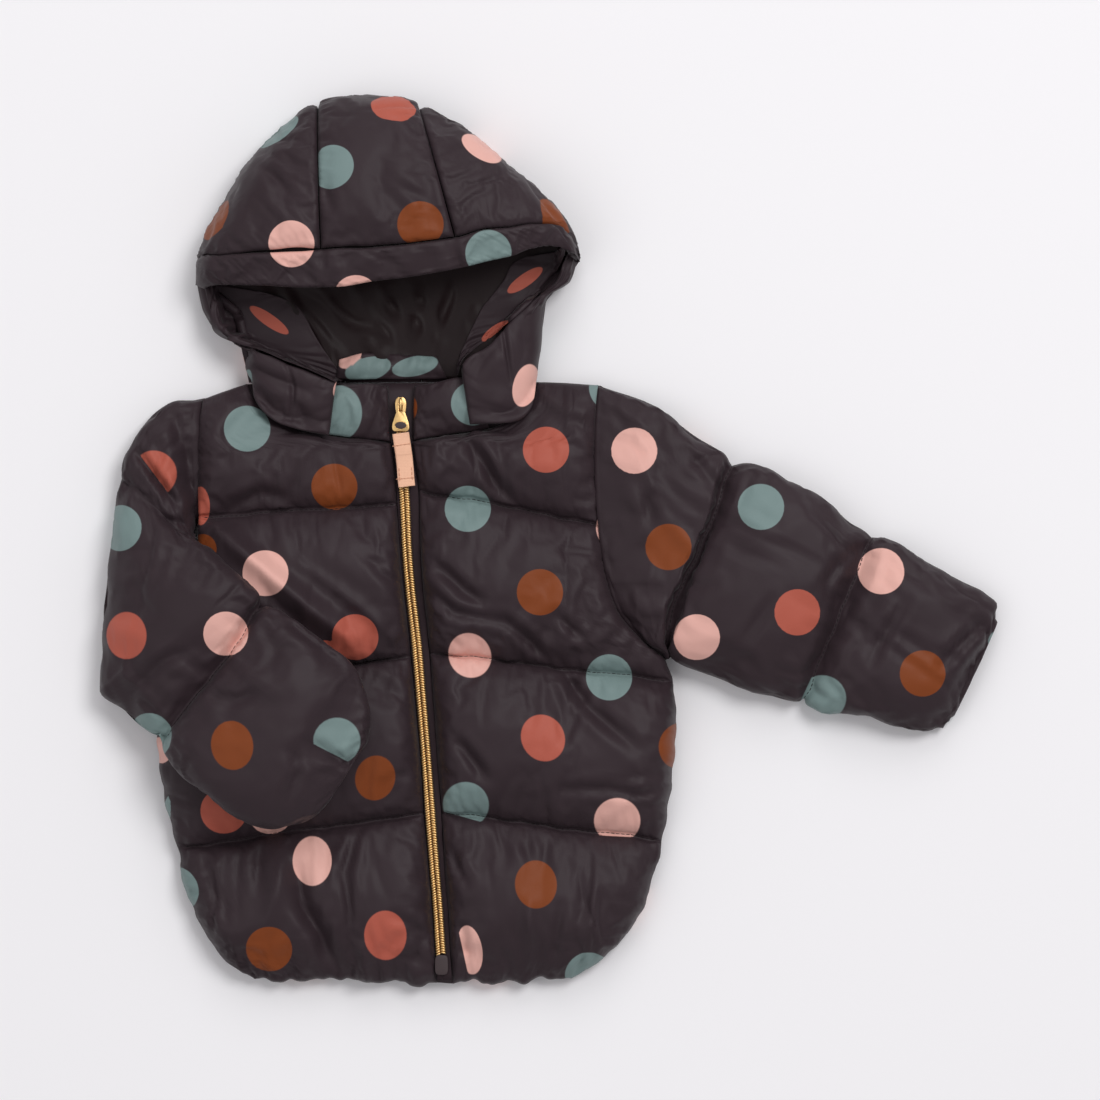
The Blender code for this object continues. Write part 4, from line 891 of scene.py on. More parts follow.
def under_height(down, from_side, to_neck):
    """Underside of the back panel: flat on the floor, rounded up at its free edges but not at the neck."""
    side = (1 - round_over(from_side, ROLL)) * (1 - armhole_share(down))
    shoulder = (1 - round_over(down, ROLL)) * (1 - to_neck)
    hem = 1 - round_over(QUILTING[-1] - down, ROLL)
    return np.maximum(np.maximum(side, shoulder), hem) * (SEAM_Z - EDGE_WALL)


def stack(xy, z):
    return np.concatenate((xy, z[..., None]), axis=-1)


def gathered(x, y, down, from_side):
    """Sideways and downward shift of the body's outline, drawn in by its elastic and its side seams."""
    hem = np.exp(-((QUILTING[-1] - down) / 14.0) ** 2)
    side = np.exp(-(from_side / 12.0) ** 2)
    drop = hem * (2.2 * noise(x / 13, 0.5, 31) + 1.4 * noise(x / 5.5, 1.5, 32) - 0.6)
    out = side * (1.2 * noise(y / 14, 2.5, 33) + 0.5 * noise(y / 6, 3.5, 34)) * (1 - armhole_share(down))
    return np.stack((out, drop), axis=-1)


def body_rows(downs):
    """The body's seams and edges at distances down from the shoulder."""
    return smooth_rows(BODY[:, 1:], downs, BODY[:, 0])


def front(name, side_column, edge_column, spots, folds, seed):
    """One front: channels of padding between quilting lines, puckered where it is stitched."""
    downs = stitched_rows(QUILTING, 2.2)
    rows = body_rows(downs)
    side, edge = rows[:, side_column:side_column + 2], rows[:, edge_column:edge_column + 2]
    width = length(edge - side)[:, None]
    share = np.linspace(0, 1, 76)[None, :]
    down = downs[:, None] + 0 * share
    xy = blend(side[:, None], edge[:, None], share[..., None])
    x, y = xy[..., 0], xy[..., 1]
    from_side, from_edge = width * share, width * (1 - share)
    z = inside_height(down, from_side) + FRONT_GAP
    free = np.minimum(np.minimum(from_side, from_edge), np.minimum(down, QUILTING[-1] - down)) / 14
    xy[..., 1] += np.clip(free, 0, 1) * (1.5 * noise(x / 31, 0.3, seed) + 0.8 * noise(x / 11, 0.7, seed))
    x, y = xy[..., 0], xy[..., 1]
    stitched = blend(EDGE_WALL, ARMHOLE_WALL, armhole_share(down) * (1 - np.minimum(from_side / 20, 1)))
    edge_radius = blend(34.0, 14.0, np.clip((down - 36.0) / 26.0, 0, 1))
    padding = channel_puff(down) * round_over(from_side, 22.0) * round_over(from_edge, edge_radius)
    free = np.minimum(padding / 8, 1)
    thick = np.maximum(stitched + padding - fold_depth(x, y) * free, EDGE_WALL)
    height = lumps(x, y, seed) * free
    for k, line in enumerate(QUILTING[1:-1]):
        away = np.abs(down - line)
        height += puckers(x, away, seed + 10 * k, 1.15) - 1.7 * np.exp(-(away / 0.9) ** 2)
    height += puckers(x, QUILTING[-1] - down, seed + 50, 2.8, 1.9)
    height += puckers(x, down, seed + 60, 0.6)
    height += puckers(y, from_side, seed + 70, 0.9)
    height += puckers(y, from_edge, seed + 80, 0.5, 0.8)
    low = stack(xy, z)
    low[..., :2] += gathered(x, y, down, from_side)
    sewn = np.maximum(firmness(from_side), firmness(from_edge))
    for line in QUILTING:
        sewn = np.maximum(sewn, firmness(np.abs(down - line)))
    top = raised(stack(low[..., :2], z + thick), low, height)
    thing = shell_piece(name, top, low, [name], spots, sewn, 6.5)
    for line in QUILTING[1:-1]:
        row = int(np.argmin(np.abs(downs - line)))
        sewing.append(("%s_line_%d" % (name, line), thing, row * share.size + np.arange(3, share.size - 2)))
    pressed_cloth.append((thing, np.concatenate((free.ravel(), np.zeros(free.size))), folds))


def back_panel():
    """One wall from side to side, flat underneath."""
    downs = np.arange(0, QUILTING[-1] + 0.1, 4.0)
    rows = body_rows(downs).reshape(len(downs), 4, 2)
    halves_top, halves_low = [], []
    for start, end, outwards in ((rows[:, 0], rows[:, 1], 1), (rows[:, 2], rows[:, 3], -1)):
        width = length(end - start)[:, None]
        share = (1 - np.cos(np.linspace(0, math.pi, 40)))[None, :] / 2
        xy = blend(start[:, None], end[:, None], share[..., None])
        from_side = width * (share if outwards > 0 else 1 - share)
        down = downs[:, None] + 0 * share
        xy = xy + gathered(xy[..., 0], xy[..., 1], down, from_side)
        halves_top.append(stack(xy, inside_height(down, from_side)))
        halves_low.append(stack(xy, under_height(down, from_side, from_side / width)))
    upper, under = np.concatenate(halves_top, axis=1), np.concatenate(halves_low, axis=1)
    shell_piece("back_panel", under, upper, ["back_panel"], hidden=True)


# ---------------------------------------------------------------- sleeves

def armhole_curve(side_column, reach, outwards, shares):
    """Places on the armhole seam, just off the body, by share of its length in sight."""
    seam = body_rows(shares * reach)[:, side_column:side_column + 2]
    along = np.gradient(seam, axis=0)
    along /= length(along)[:, None]
    return seam + np.stack((-along[:, 1], along[:, 0]), axis=1) * outwards * (GAP + 0.2)


def sleeve_grid(table, steps, around, side_column, reach, outwards, floor_at=None, turned=None):
    """A flattened sleeve's rings: the upper half from outer to inner edge, then the lower half back.

    Also gives each point's distance from the outer edge and along the sleeve, and which half it is in.
    Turned brings a line of stitching nearer the armhole as it comes to the inner edge."""
    shares = (1 - np.cos(np.linspace(0, math.pi, around + 1))) / 2
    seam = armhole_curve(side_column, reach, outwards, shares)
    straight = blend(seam[0], seam[-1], shares[:, None])
    along = steps[:, None] + 0 * shares
    if turned:
        line, after, by = turned
        moved = line * (1 - by * np.clip((shares - 0.3) / 0.65, 0, 1) ** 1.3)[None]
        along = np.where(along <= line, along * moved / line,
                         np.where(along < after, after - (after - along) * (after - moved) / (after - line), along))
    rows = smooth_rows(table[:, 1:5], along.ravel(), table[:, 0]).reshape(*along.shape, 4)
    fade = np.maximum(1 - along / ARMHOLE_FADE, 0) ** 1.5
    outer_edge, inner_edge = rows[..., 0:2].copy(), rows[..., 2:4].copy()
    outer_edge[0], inner_edge[0] = seam[0], seam[-1]
    xy = blend(outer_edge, inner_edge, shares[None, :, None]) + (seam - straight)[None] * fade[..., None]
    rows = smooth_rows(table[:, 1:], steps, table[:, 0])
    thick = rows[:, 4][:, None]
    width = length(rows[:, 2:4] - rows[:, 0:2])[:, None]
    way = np.gradient(rows[:, 0:2] + rows[:, 2:4], axis=0)
    way /= length(way)[:, None]
    sway = np.clip(np.minimum(steps, steps[-1] - steps) / 16, 0, 1)[:, None]
    sway = sway * (1.6 * noise(width * shares / 27, 0.4, side_column + 7) + 0.7 * noise(width * shares / 9, 1.4, 9))
    xy = xy + way[:, None] * (sway * np.clip(width * np.minimum(shares, 1 - shares) / 8, 0, 1))[..., None]
    full = (1 - np.abs(2 * shares - 1) ** 2.6) ** (1 / 2.6)
    bases = rows[:, 5:7] if rows.shape[1] > 5 else np.zeros((len(steps), 2))
    middle = blend(bases[:, :1], bases[:, 1:], shares[None]) + 0.42 * thick
    floor = np.zeros_like(middle) if floor_at is None else floor_at(steps, shares)
    upper = np.maximum(middle + 0.58 * thick * full, floor + 0.5 * thick * full)
    near_edge = 1 - round_over(np.minimum(shares, 1 - shares) * width, ROLL)
    lower = blend(floor, np.maximum(middle, floor), near_edge)
    top, low = stack(xy, upper), stack(xy, lower)
    back = slice(around - 1, 0, -1)
    rings = np.concatenate((top, low[:, back]), axis=1)
    from_outer = width * shares
    from_outer = np.concatenate((from_outer, from_outer[:, back]), axis=1)
    is_top = np.concatenate((np.ones(around + 1), np.zeros(around - 1)))[None] + 0 * from_outer
    return rings, from_outer, is_top


def sleeve_heights(rings, from_outer, is_top, steps, lines, deep, seed, cuff=0.0):
    """Puckers at the quilting lines and the armhole, and unevenness."""
    x, y = rings[..., 0], rings[..., 1]
    along = steps[:, None] + 0 * from_outer
    height = lumps(x + 300 * (1 - is_top), y, seed, 0.9)
    for k, line in enumerate(lines):
        away = np.abs(along - line)
        height -= deep[k] * np.exp(-(away / 3.0) ** 1.2) + 0.4 * deep[k] * np.exp(-(away / 0.9) ** 2)
        height += puckers(from_outer, away, seed + 10 * k, 2.2)
    height += puckers(from_outer, steps[:, None] + 0 * from_outer, seed + 60, 0.9)
    if cuff:
        height += puckers(from_outer, cuff - steps[:, None] + 0 * from_outer, seed + 70, 3.0, 1.5)
    under = (1 - is_top) * np.clip(1 - rings[..., 2] / 6.0, 0, 1)
    return height * (1 - under)


def closed_tube(name, rings, spots, is_top, sewn, folds, cuff):
    """Skin of a sleeve, closed flat at the armhole, and at its other end or deep in its cuff."""
    around = rings.shape[1]
    centre = rings[-1].mean(axis=0)
    inward = rings[-3].mean(axis=0) - centre
    inward = inward / length(inward)
    grid = np.concatenate((rings, *((centre + (rings[-1] - centre) * size + inward * deep)[None]
                                    for deep, size in cuff)))
    faces = tube_faces(len(grid), around).tolist()
    for start in (0, (len(grid) - 1) * around):
        for j in range(around // 2):
            corners = (start + j, start + j + 1, start + (-(j + 1) % around), start + (-j % around))
            corners = list(dict.fromkeys(corners))
            if len(corners) > 2:
                faces.append(corners[::-1] if start else corners)
    mesh = mesh_from(name + "_cloth", grid.reshape(-1, 3), faces)
    solid = bmesh.new()
    solid.from_mesh(mesh)
    bmesh.ops.recalc_face_normals(solid, faces=solid.faces)
    if solid.calc_volume(signed=True) < 0:
        bmesh.ops.reverse_faces(solid, faces=solid.faces)
    solid.to_mesh(mesh)
    solid.free()
    thing = hand_over(placed(mesh, "shell"), "jacket", "shell", name)
    inside = np.zeros(len(cuff) * around)
    printed_cloth.append((thing, spots, np.concatenate((is_top.ravel() < 0.5, inside > 0))))
    firm = np.maximum(sewn, 1.0 - is_top)
    firm[[0, -1]] = 1
    padded_cloth.append((thing, np.concatenate((firm.ravel(), inside + 1)), 6.0, SLEEVE_SIDEWAYS))
    pressed_cloth.append((thing, np.concatenate((is_top.ravel(), inside)), folds))
    return thing


def sleeve(name, steps, grid, lines, grooves, stitched, outwards, spots, folds, seed, fade=1.0, cuff_at=0.0, cuff=()):
    """A sleeve from its grid: puckered and stitched at its quilting lines, held at its armhole and end."""
    rings, from_outer, is_top = grid
    height = sleeve_heights(rings, from_outer, is_top, steps, lines, grooves, seed, cuff_at) * fade
    rings = rings + normals_of(rings, rings.mean(axis=1, keepdims=True), True) * height[..., None]
    rings[..., 2] = np.maximum(rings[..., 2], 0.0)
    rings[0, :, 0] -= outwards * ARMHOLE_TUCK
    sewn = np.zeros(from_outer.shape)
    for line in (0.0, *lines, steps[-1]):
        sewn = np.maximum(sewn, firmness(np.abs(steps[:, None] - line) + 0 * from_outer))
    thing = closed_tube(name, rings, spots, is_top, sewn, folds, cuff)
    around = rings.shape[1]
    for line in stitched:
        row = int(np.argmin(np.abs(steps - line)))
        sewing.append(("%s_line_%d" % (thing.name, line), thing, row * around + np.arange(2, around // 2 - 1)))


def left_sleeve():
    """Laid out, with an open cuff."""
    end = LEFT_SLEEVE[-1, 0]
    steps = stitched_rows((0.0, *LEFT_LINES, end), 2.3)
    grid = sleeve_grid(LEFT_SLEEVE, steps, 52, 6, LEFT_ARMHOLE, 1, turned=(*LEFT_LINES, LEFT_TURN))
    sleeve("left_sleeve", steps, grid, LEFT_LINES, LEFT_GROOVES, LEFT_LINES, 1, LEFT_SLEEVE_DOTS,
           LEFT_SLEEVE_CREASES, 300, cuff_at=end, cuff=CUFF)


class Layers:
    """The upper surface of some CAD nodes, given by name, or of pieces made here."""

    def __init__(self, *names):
        self.trees = []
        for name in names:
            solid = bmesh.new()
            solid.from_mesh((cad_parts[name] if isinstance(name, str) else name).data)
            self.trees.append(BVHTree.FromBMesh(solid))
            solid.free()

    def height(self, x, y, reach, seen_from=300.0):
        """Highest point within reach of here, below the height that it is seen from."""
        top = 0.0
        down = Vector((0, 0, -1))
        for radius, turns in ((0.0, 1), (reach / 3, 8), (reach * 2 / 3, 12), (reach, 16)):
            for k in range(turns):
                angle = 2 * math.pi * k / turns
                start = Vector((x + radius * math.cos(angle), y + radius * math.sin(angle), seen_from)) * 0.001
                for tree in self.trees:
                    hit = tree.ray_cast(start, down)[0]
                    if hit is not None:
                        top = max(top, hit.z * 1000)
        return top


def right_sleeve():
    """Folded over the front: raised clear of the body wherever it lies on it."""
    layers = Layers("back_panel", "right_front", "left_front")
    end = RIGHT_SLEEVE[-1, 0]
    coarse_steps = np.linspace(0, end, 28)
    coarse_shares = (1 - np.cos(np.linspace(0, math.pi, 11))) / 2
    coarse_rows = smooth_rows(RIGHT_SLEEVE[:, 1:], coarse_steps, RIGHT_SLEEVE[:, 0])
    floors = np.zeros((len(coarse_steps), len(coarse_shares)))
    for i, (step, row) in enumerate(zip(coarse_steps, coarse_rows)):
        for k, share in enumerate(coarse_shares):
            if step >= BESIDE_BODY:
                x, y = blend(row[0:2], row[2:4], share)
                height = layers.height(x, y, 18.0)
                floors[i, k] = height + CLEAR + 0.3 if height > 0 else 0.0

    def floor_at(steps, shares):
        by_share = np.array([np.interp(shares, coarse_shares, row) for row in floors])
        return np.array([np.interp(steps, coarse_steps, column) for column in by_share.T]).T

    steps = stitched_rows((0.0, *RIGHT_LINES, end), 2.2)
    grid = sleeve_grid(RIGHT_SLEEVE, steps, 46, 0, RIGHT_ARMHOLE, -1, floor_at)
    fade = np.clip((end - steps) / 20, 0, 1)[:, None]
    sleeve("right_sleeve", steps, grid, RIGHT_LINES, RIGHT_GROOVES, RIGHT_LINES[1:], -1, RIGHT_SLEEVE_DOTS,
           RIGHT_SLEEVE_CREASES, 400, fade)


# ---------------------------------------------------------------- hood

def hood_side(end, t):
    """Edge of the hood's under layer, from the crown's outline (t = 0) to the neck (t = 1)."""
    crest, waist, neck = HOOD[-end, 3:5], np.array(WAIST[end]), np.array(NECK[end])
    t = t[..., None]
    return np.where(t <= 0.5, blend(crest, waist, 2 * t), blend(waist, neck, 2 * t - 1))


def hood_surface(fan, down):
    """Places on the hood's outside: down runs from brim (0) over the crown's edge (1) to the neck (2)."""
    fan, down = np.broadcast_arrays(np.asarray(fan, float), np.asarray(down, float))
    row = smooth_rows(HOOD, fan.ravel()).reshape(*fan.shape, 5)
    brim, crest = row[..., 0:2], row[..., 3:5]
    across = (fan / FAN_END)[..., None]
    arch = np.maximum(np.sin(math.pi * fan / FAN_END), 0.0) ** 0.5
    up, t = np.clip(down, 0, 1), np.clip(down - 1, 0, 1)
    brim_z = blend(BRIM_ENDS_Z, BRIM_Z, arch)
    z = CREST_Z + (brim_z - CREST_Z) * (1 - up**CROWN_POWER) ** (1 / CROWN_POWER)
    over = stack(blend(brim, crest, up[..., None]), z + CROWN_RISE * arch * np.sin(math.pi * up))
    waist, neck = (blend(np.array(line[0]), np.array(line[1]), across) for line in (WAIST, NECK))
    low = np.where(t[..., None] <= 0.5, blend(crest, waist, 2 * t[..., None]),
                   blend(waist, neck, 2 * t[..., None] - 1))
    from_side = np.minimum(length(hood_side(0, t) - low), length(hood_side(1, t) - low))
    lift = 1 - round_over(np.minimum(length(low - crest), from_side), CREST_Z)
    return np.where((down <= 1)[..., None], over, stack(low, CREST_Z * lift))


def band_share(fan):
    return np.clip(smooth_rows(HOOD, np.atleast_1d(fan))[:, 2], 0, 1)


def even_fans(first, last, spacing):
    """Fans evenly spaced along the crown's outline."""
    dense = np.linspace(first, last, 300)
    run = run_of(hood_surface(dense, 0.93)[None], 1)[0]
    return np.interp(np.linspace(0, run[-1], int(run[-1] / spacing) + 2), run, dense)


def even_downs(fans, starts, ends, count, under=0.45):
    """Rows evenly spaced over the hood, and fewer where it lies on the floor."""
    dense = np.linspace(0, 1, 500)[:, None]
    downs = blend(starts[None], ends[None], dense)
    step = length(np.diff(hood_surface(fans[None], downs), axis=0)) * np.where(downs[1:] > 1.05, under, 1.0)
    run = np.concatenate((np.zeros((1, len(fans))), np.cumsum(step, axis=0)))
    share = np.linspace(0, 1, count)
    return np.stack([np.interp(share * run[-1, j], run[:, j], downs[:, j]) for j in range(len(fans))], axis=1)


def seam_roll(edges, radius, deep):
    """How far a padded panel's face sinks as it comes to its sewn edges."""
    sink = 0.0
    for edge in edges:
        sink = np.maximum(sink, 1 - round_over(edge, radius))
    return -deep * sink


def hood_normals(outer, downs):
    """Normals of the hood's outside, upwards on the crown and downwards under it."""
    return normals_of(outer, outer + (0, 0, 1) * np.where(downs < 1, -1, 1)[..., None])


def hood_panel(name, first, last, seams, spots, seed):
    """A hood panel from the brim band's seam over the crown and under to the neck."""
    fans = even_fans(first, last, 2.2)
    starts = np.minimum(band_share(fans) + 0.004, 1.0)
    downs = even_downs(fans, starts, np.full(len(fans), 1.999), 128)
    slide = np.clip(1 - np.abs(fans - RIGHT_SEAM) / 2.4, 0, 1)[None] * blend(0.16, 0.5, np.clip(1 - downs, 0, 1))
    outer = hood_surface(fans[None] + slide * np.clip((1.25 - downs) / 0.25, 0, 1), downs)
    normal = hood_normals(outer, downs)
    inner = outer - normal * HOOD_WALL
    left, right, top, _ = edges_of(outer)
    sewn = [top] + [edge for edge, there in zip((left, right), seams) if there]
    height = seam_roll(sewn, 4.5, 2.4)
    shown = np.clip((1.06 - downs) / 0.05, 0, 1)
    height = height + lumps(outer[..., 0], outer[..., 1], seed, 0.8) * shown
    height += puckers(left, top, seed + 5, 0.75) * shown
    for k, (edge, there) in enumerate(zip((left, right), seams)):
        if there:
            height += puckers(top, edge, seed + 20 + 10 * k, 0.8) * np.clip(shown + 0.3, 0, 1)
    moved = raised(outer, inner, height, 1.2)
    moved[..., 2] = np.maximum(moved[..., 2], 0.0)
    firm = np.maximum(firmness(top), np.clip((downs - 0.99) / 0.04, 0, 1))
    for edge, there in zip((left, right), seams):
        if there:
            firm = np.maximum(firm, firmness(edge))
    thing = shell_piece(name, moved, inner, [name], spots, firm, 5.0, downs > 1.05)
    pressed_cloth.append((thing, np.concatenate((shown.ravel(), np.zeros(shown.size))), HOOD_CREASES))


def hood_band():
    """The brim's band, from one end of the opening to the other, rolled over at its edge."""
    fans = even_fans(0.0, FAN_END, 2.0)
    ends = np.maximum(band_share(fans) - 0.004, 0.02)
    downs = even_downs(fans, np.zeros(len(fans)), ends, 24, 1.0)
    outer = hood_surface(fans[None], downs)
    normal = normals_of(outer, outer - (0, 0, 1))
    inner = outer - normal * HOOD_WALL
    left, right, top, bottom = edges_of(outer)
    height = seam_roll([bottom], 3.6, 2.0) + seam_roll([top], 3.2, 2.2)
    height = height + creases(outer[..., 0], outer[..., 1], HOOD_CREASES)
    height += puckers(left, bottom, 520, 0.45) + puckers(left, top, 540, 0.4)
    height += lumps(outer[..., 0], outer[..., 1], 560, 0.5)
    for line in (RIGHT_SEAM + 0.5, LEFT_SEAM):
        k = np.argmin(np.abs(fans - line))
        away = np.abs(left - left[:, k:k + 1])
        height = height - 1.6 * np.exp(-(away / 1.6) ** 2) + puckers(top, away, 570 + k, 0.9)
    inner = inner + normal * (-seam_roll([top], 3.2, 2.2))[..., None]
    from_end = np.minimum(left, right)
    height = height * np.clip((from_end - 2) / 9, 0, 1)
    inner = blend(outer - normal * 1.2, inner, np.clip(from_end / 9, 0.2, 1)[..., None])
    firm = np.maximum(np.maximum(firmness(bottom), 0.6 * firmness(top)), np.clip((22 - from_end) / 10, 0, 1))
    shell_piece("hood_band", raised(outer, inner, height, 0.6), inner, ["hood_band"], HOOD_BAND_DOTS,
                firm, 2.5)


def hood_lining():
    """Dark lining inside the hood, with the folds that the photograph shows at the back."""
    fans = even_fans(0.6, 14.3, 3.0)
    downs = even_downs(fans, np.full(len(fans), 0.04), np.full(len(fans), 1.985), 120, 0.9)
    outer = hood_surface(fans[None], downs)
    normal = hood_normals(outer, downs)
    depth = HOOD_WALL + CLEAR + CROWN_SLACK * np.clip((1.2 - downs) / 0.15, 0, 1)
    low = outer - normal * depth[..., None]
    x, y = low[..., 0], low[..., 1]
    left, _, _, bottom = edges_of(low)
    height = creases(x, y, LINING_CREASES) + lumps(x, y, 620, 1.2) + puckers(left, bottom, 630, 2.0, 2.4)
    height = np.maximum(height, -0.2) * np.clip((downs - 1.02) / 0.1, 0, 1) + 0.6
    shown = low - normal * (height + LINING_WALL)[..., None]
    return wall("hood_lining_cloth", shown, low, "lining", "jacket", "lining", "hood_lining"), area_of(shown)


def area_of(grid):
    """Area of a grid of cloth, in square metres."""
    a, b = grid[1:, 1:] - grid[:-1, :-1], grid[1:, :-1] - grid[:-1, 1:]
    return 0.5 * length(np.cross(a, b)).sum() * 1e-6


def coarse_floor(table_points, layers, reach, seen_from):
    """Height of what lies under a coarse grid of places."""
    return np.array([[layers.height(x, y, reach, seen_from) for x, y in row] for row in table_points])


def spread(coarse, rows, columns):
    """A coarse grid of numbers read smoothly at more rows and columns."""
    tall = smooth_rows(coarse, np.linspace(0, len(coarse) - 1, rows))
    return smooth_rows(tall.T, np.linspace(0, tall.shape[1] - 1, columns)).T


def ruled(row, share):
    """Places across between two edges, whose x and y are the row's first four columns."""
    return blend(row[:, None, 0:2], row[:, None, 2:4], share[..., None])


def hood_wing(side, table, layers, spots, folds, seams, waist, seed):
    """Outside of one side of the opening, from under the brim to the neck, lying over the shoulder.

    One surface: its side panel, chin flap and band end are sewn together along the seams."""
    rows, columns = 104, 40
    first, last = 0.1, len(table) - 1
    coarse_rows, coarse_shares = np.linspace(first, last, 15), np.linspace(0, 1, 7)
    row = smooth_rows(table, coarse_rows)
    rest = spread(coarse_floor(ruled(row, coarse_shares[None]), layers, 7.0, UNDER_BRIM), rows, columns)
    row = smooth_rows(table, np.linspace(first, last, rows))
    share = np.linspace(0, 1, columns)[None]
    width = length(row[:, 2:4] - row[:, 0:2])[:, None]
    xy = ruled(row, share)
    for y, tall, by in waist:
        xy = xy + (np.exp(-((xy[..., 1:2] - y) / tall) ** 2) * (1 - share[..., None]) ** 2) * (by, 0.0)
    z = blend(CREST_Z + FLANK_WALL, row[:, 4][:, None], round_over(share * width, width * 0.8))
    under = np.maximum(np.maximum(z - FLANK_WALL, rest + CLEAR), CREST_Z + CLEAR)
    low = stack(xy, under)
    top = stack(xy, under + FLANK_WALL * blend(0.6, 1.0, round_over(share * width, 8.0)))
    left, right, upper, lower = edges_of(top)
    height = seam_roll([left, lower], 4.5, 2.2) + seam_roll([right], 3.0, 1.0)
    height = height + creases(xy[..., 0], xy[..., 1], folds) + lumps(xy[..., 0], xy[..., 1], seed, 0.8)
    height += puckers(upper, left, seed + 5, 0.5) + puckers(left, lower, seed + 25, 0.6)
    for line in seams:
        height = height + creases(xy[..., 0], xy[..., 1], ((1.6, 1.1, *line), (1.1, 3.4, *line)))
    height = height * np.clip(1.5 * np.abs(normals_of(top, low)[..., 2]) - 0.2, 0.1, 1.0)
    moved = raised(top, low, height, 0.7)
    tuck = np.clip(1 - np.linspace(0, 1, rows) / 0.09, 0, 1)[:, None, None] ** 1.3
    for grid in (moved, low):
        grid += tuck * (0.0, 9.0, -2.5)
        grid[..., 2] = np.maximum(grid[..., 2], 2.0)
    nodes = ["hood_flank_" + side, "chin_" + side, "band_end_" + side]
    return shell_piece("hood_side_" + side, moved, low, nodes, spots)


def facing(side, table, layers, edge, spots, seed):
    """Shell cloth inside one side of the opening, turned out over its edge as far as the line given."""
    rows, columns = 84, 34
    row = smooth_rows(table, np.linspace(0.15, len(table) - 1.15, rows))
    inside = even_path(row[:, 5:7], 0.5)[0]
    inside = inside[np.linspace(0, len(inside) - 1, rows).astype(int)]
    outside = np.array([at(*place) for place in edge])
    outside = smooth_rows(outside, np.linspace(0, len(outside) - 1, rows))
    share = np.linspace(0, 1, columns)[None]
    xy = blend(outside[:, None], inside[:, None], share[..., None])
    coarse = xy[np.linspace(0, rows - 1, 18).astype(int)][:, np.linspace(0, columns - 1, 12).astype(int)]
    rest = spread(coarse_floor(coarse, layers, 1.6, UNDER_BRIM), rows, columns)
    low = stack(xy, rest + 0.3 + 0.9 * np.clip(length(xy - xy[:, :1]) / 12, 0, 1))
    top = low + (0, 0, FACING_WALL)
    left, right, upper, _ = edges_of(top)
    height = (puckers(upper, right, seed, 1.2) + puckers(upper, left, seed + 10, 0.7)
              + lumps(xy[..., 0], xy[..., 1], seed + 20, 0.9) + seam_roll([left], 2.4, 0.9))
    moved = top + normals_of(top, low) * (np.maximum(height, -0.5) * np.clip(left / 2.0, 0, 1))[..., None]
    low = moved - (0, 0, FACING_WALL * 0.9)
    name = "hood_facing_" + side
    thing = wall(name + "_cloth", moved, low, "shell", "jacket", "shell", name)
    printed_cloth.append((thing, spots, None))
    return thing, area_of(moved)


def collar(name, table, edge_column, layers, zip_row, spots, seed):
    """One front of the stand collar, plain inside and padded outside."""
    rows, columns = 46, 26

    def neck_edge(downs):
        return body_rows(downs)[:, edge_column:edge_column + 2]

    coarse = smooth_rows(table, np.linspace(0, len(table) - 1, 9))
    places = blend(neck_edge(coarse[:, 0])[:, None], coarse[:, None, 1:3], np.linspace(NECK_GAP, 1, 7)[None, :, None])
    rest = spread(coarse_floor(places, layers, 0.1, 300.0), rows, columns)
    row = smooth_rows(table, np.linspace(0, len(table) - 1, rows))
    seam = neck_edge(row[:, 0])
    from_zip = length(seam - neck_edge(table[zip_row:zip_row + 1 or None, 0]))[:, None]
    share = np.linspace(NECK_GAP, 1, columns)[None]
    xy = blend(seam[:, None], row[:, None, 1:3], share[..., None])
    under = np.maximum(BACK_TOP, rest) + CLEAR
    puff = COLLAR_PUFF * np.sin(math.pi * blend(0.0, 0.8, share)) ** 0.7
    low, top = stack(xy, under), stack(xy, under + COLLAR_WALL + puff * round_over(from_zip, 30.0))
    left, right, upper, _ = edges_of(top)
    height = seam_roll([left], 2.0, 0.6) + seam_roll([right], 3.0, 1.0) + lumps(xy[..., 0], xy[..., 1], seed, 1.0)
    height = height + puckers(upper, left, seed + 5, 1.5, 2.2)
    shell_piece(name, raised(top, low, height, 0.8), low, [name], spots,
                np.maximum(firmness(left), firmness(upper)), 2.5)


def back_collar(layers):
    """Inside of the collar at the back of the neck, seen through the hood's opening."""
    rows, columns = 44, 14
    row = smooth_rows(BACK_COLLAR, np.linspace(0, len(BACK_COLLAR) - 1, 9))
    rest = spread(coarse_floor(ruled(row, np.linspace(0, 1, 5)[None]), layers, 2.0, UNDER_BRIM), rows, columns)
    row = smooth_rows(BACK_COLLAR, np.linspace(0, len(BACK_COLLAR) - 1, rows))
    share = np.linspace(0, 1, columns)[None]
    xy = ruled(row, share)
    low = stack(xy, rest + CLEAR)
    top = stack(xy, rest + CLEAR + 2.2 + 3.0 * np.sin(math.pi * share))
    left, right, upper, _ = edges_of(top)
    height = puckers(upper, left, 790, 2.6, 2.0) + puckers(upper, right, 795, 2.2, 1.6)
    shell_piece("collar_back", raised(top, low, height, 0.8), low, ["collar_back"], BACK_COLLAR_DOTS)


# ---------------------------------------------------------------- zip and sewing

def zip_line(downs):
    """Edges of the two fronts and the middle of the teeth between them."""
    rows = body_rows(downs)
    right, left = rows[:, 2:4], rows[:, 4:6]
    return right, left, blend(right, left, CHAIN_SHARE)


def even_path(path, spacing):
    """A path with points evenly spaced, and the directions along it."""
    path = np.asarray(path, float)
    run = np.concatenate(((0.0,), np.cumsum(length(np.diff(path, axis=0)))))
    places = np.linspace(0, run[-1], max(int(run[-1] / spacing), 2))
    points = np.stack([np.interp(places, run, path[:, k]) for k in range(path.shape[1])], axis=1)
    along = np.gradient(points, axis=0)
    return points, along / np.maximum(length(along), 1e-9)[:, None]


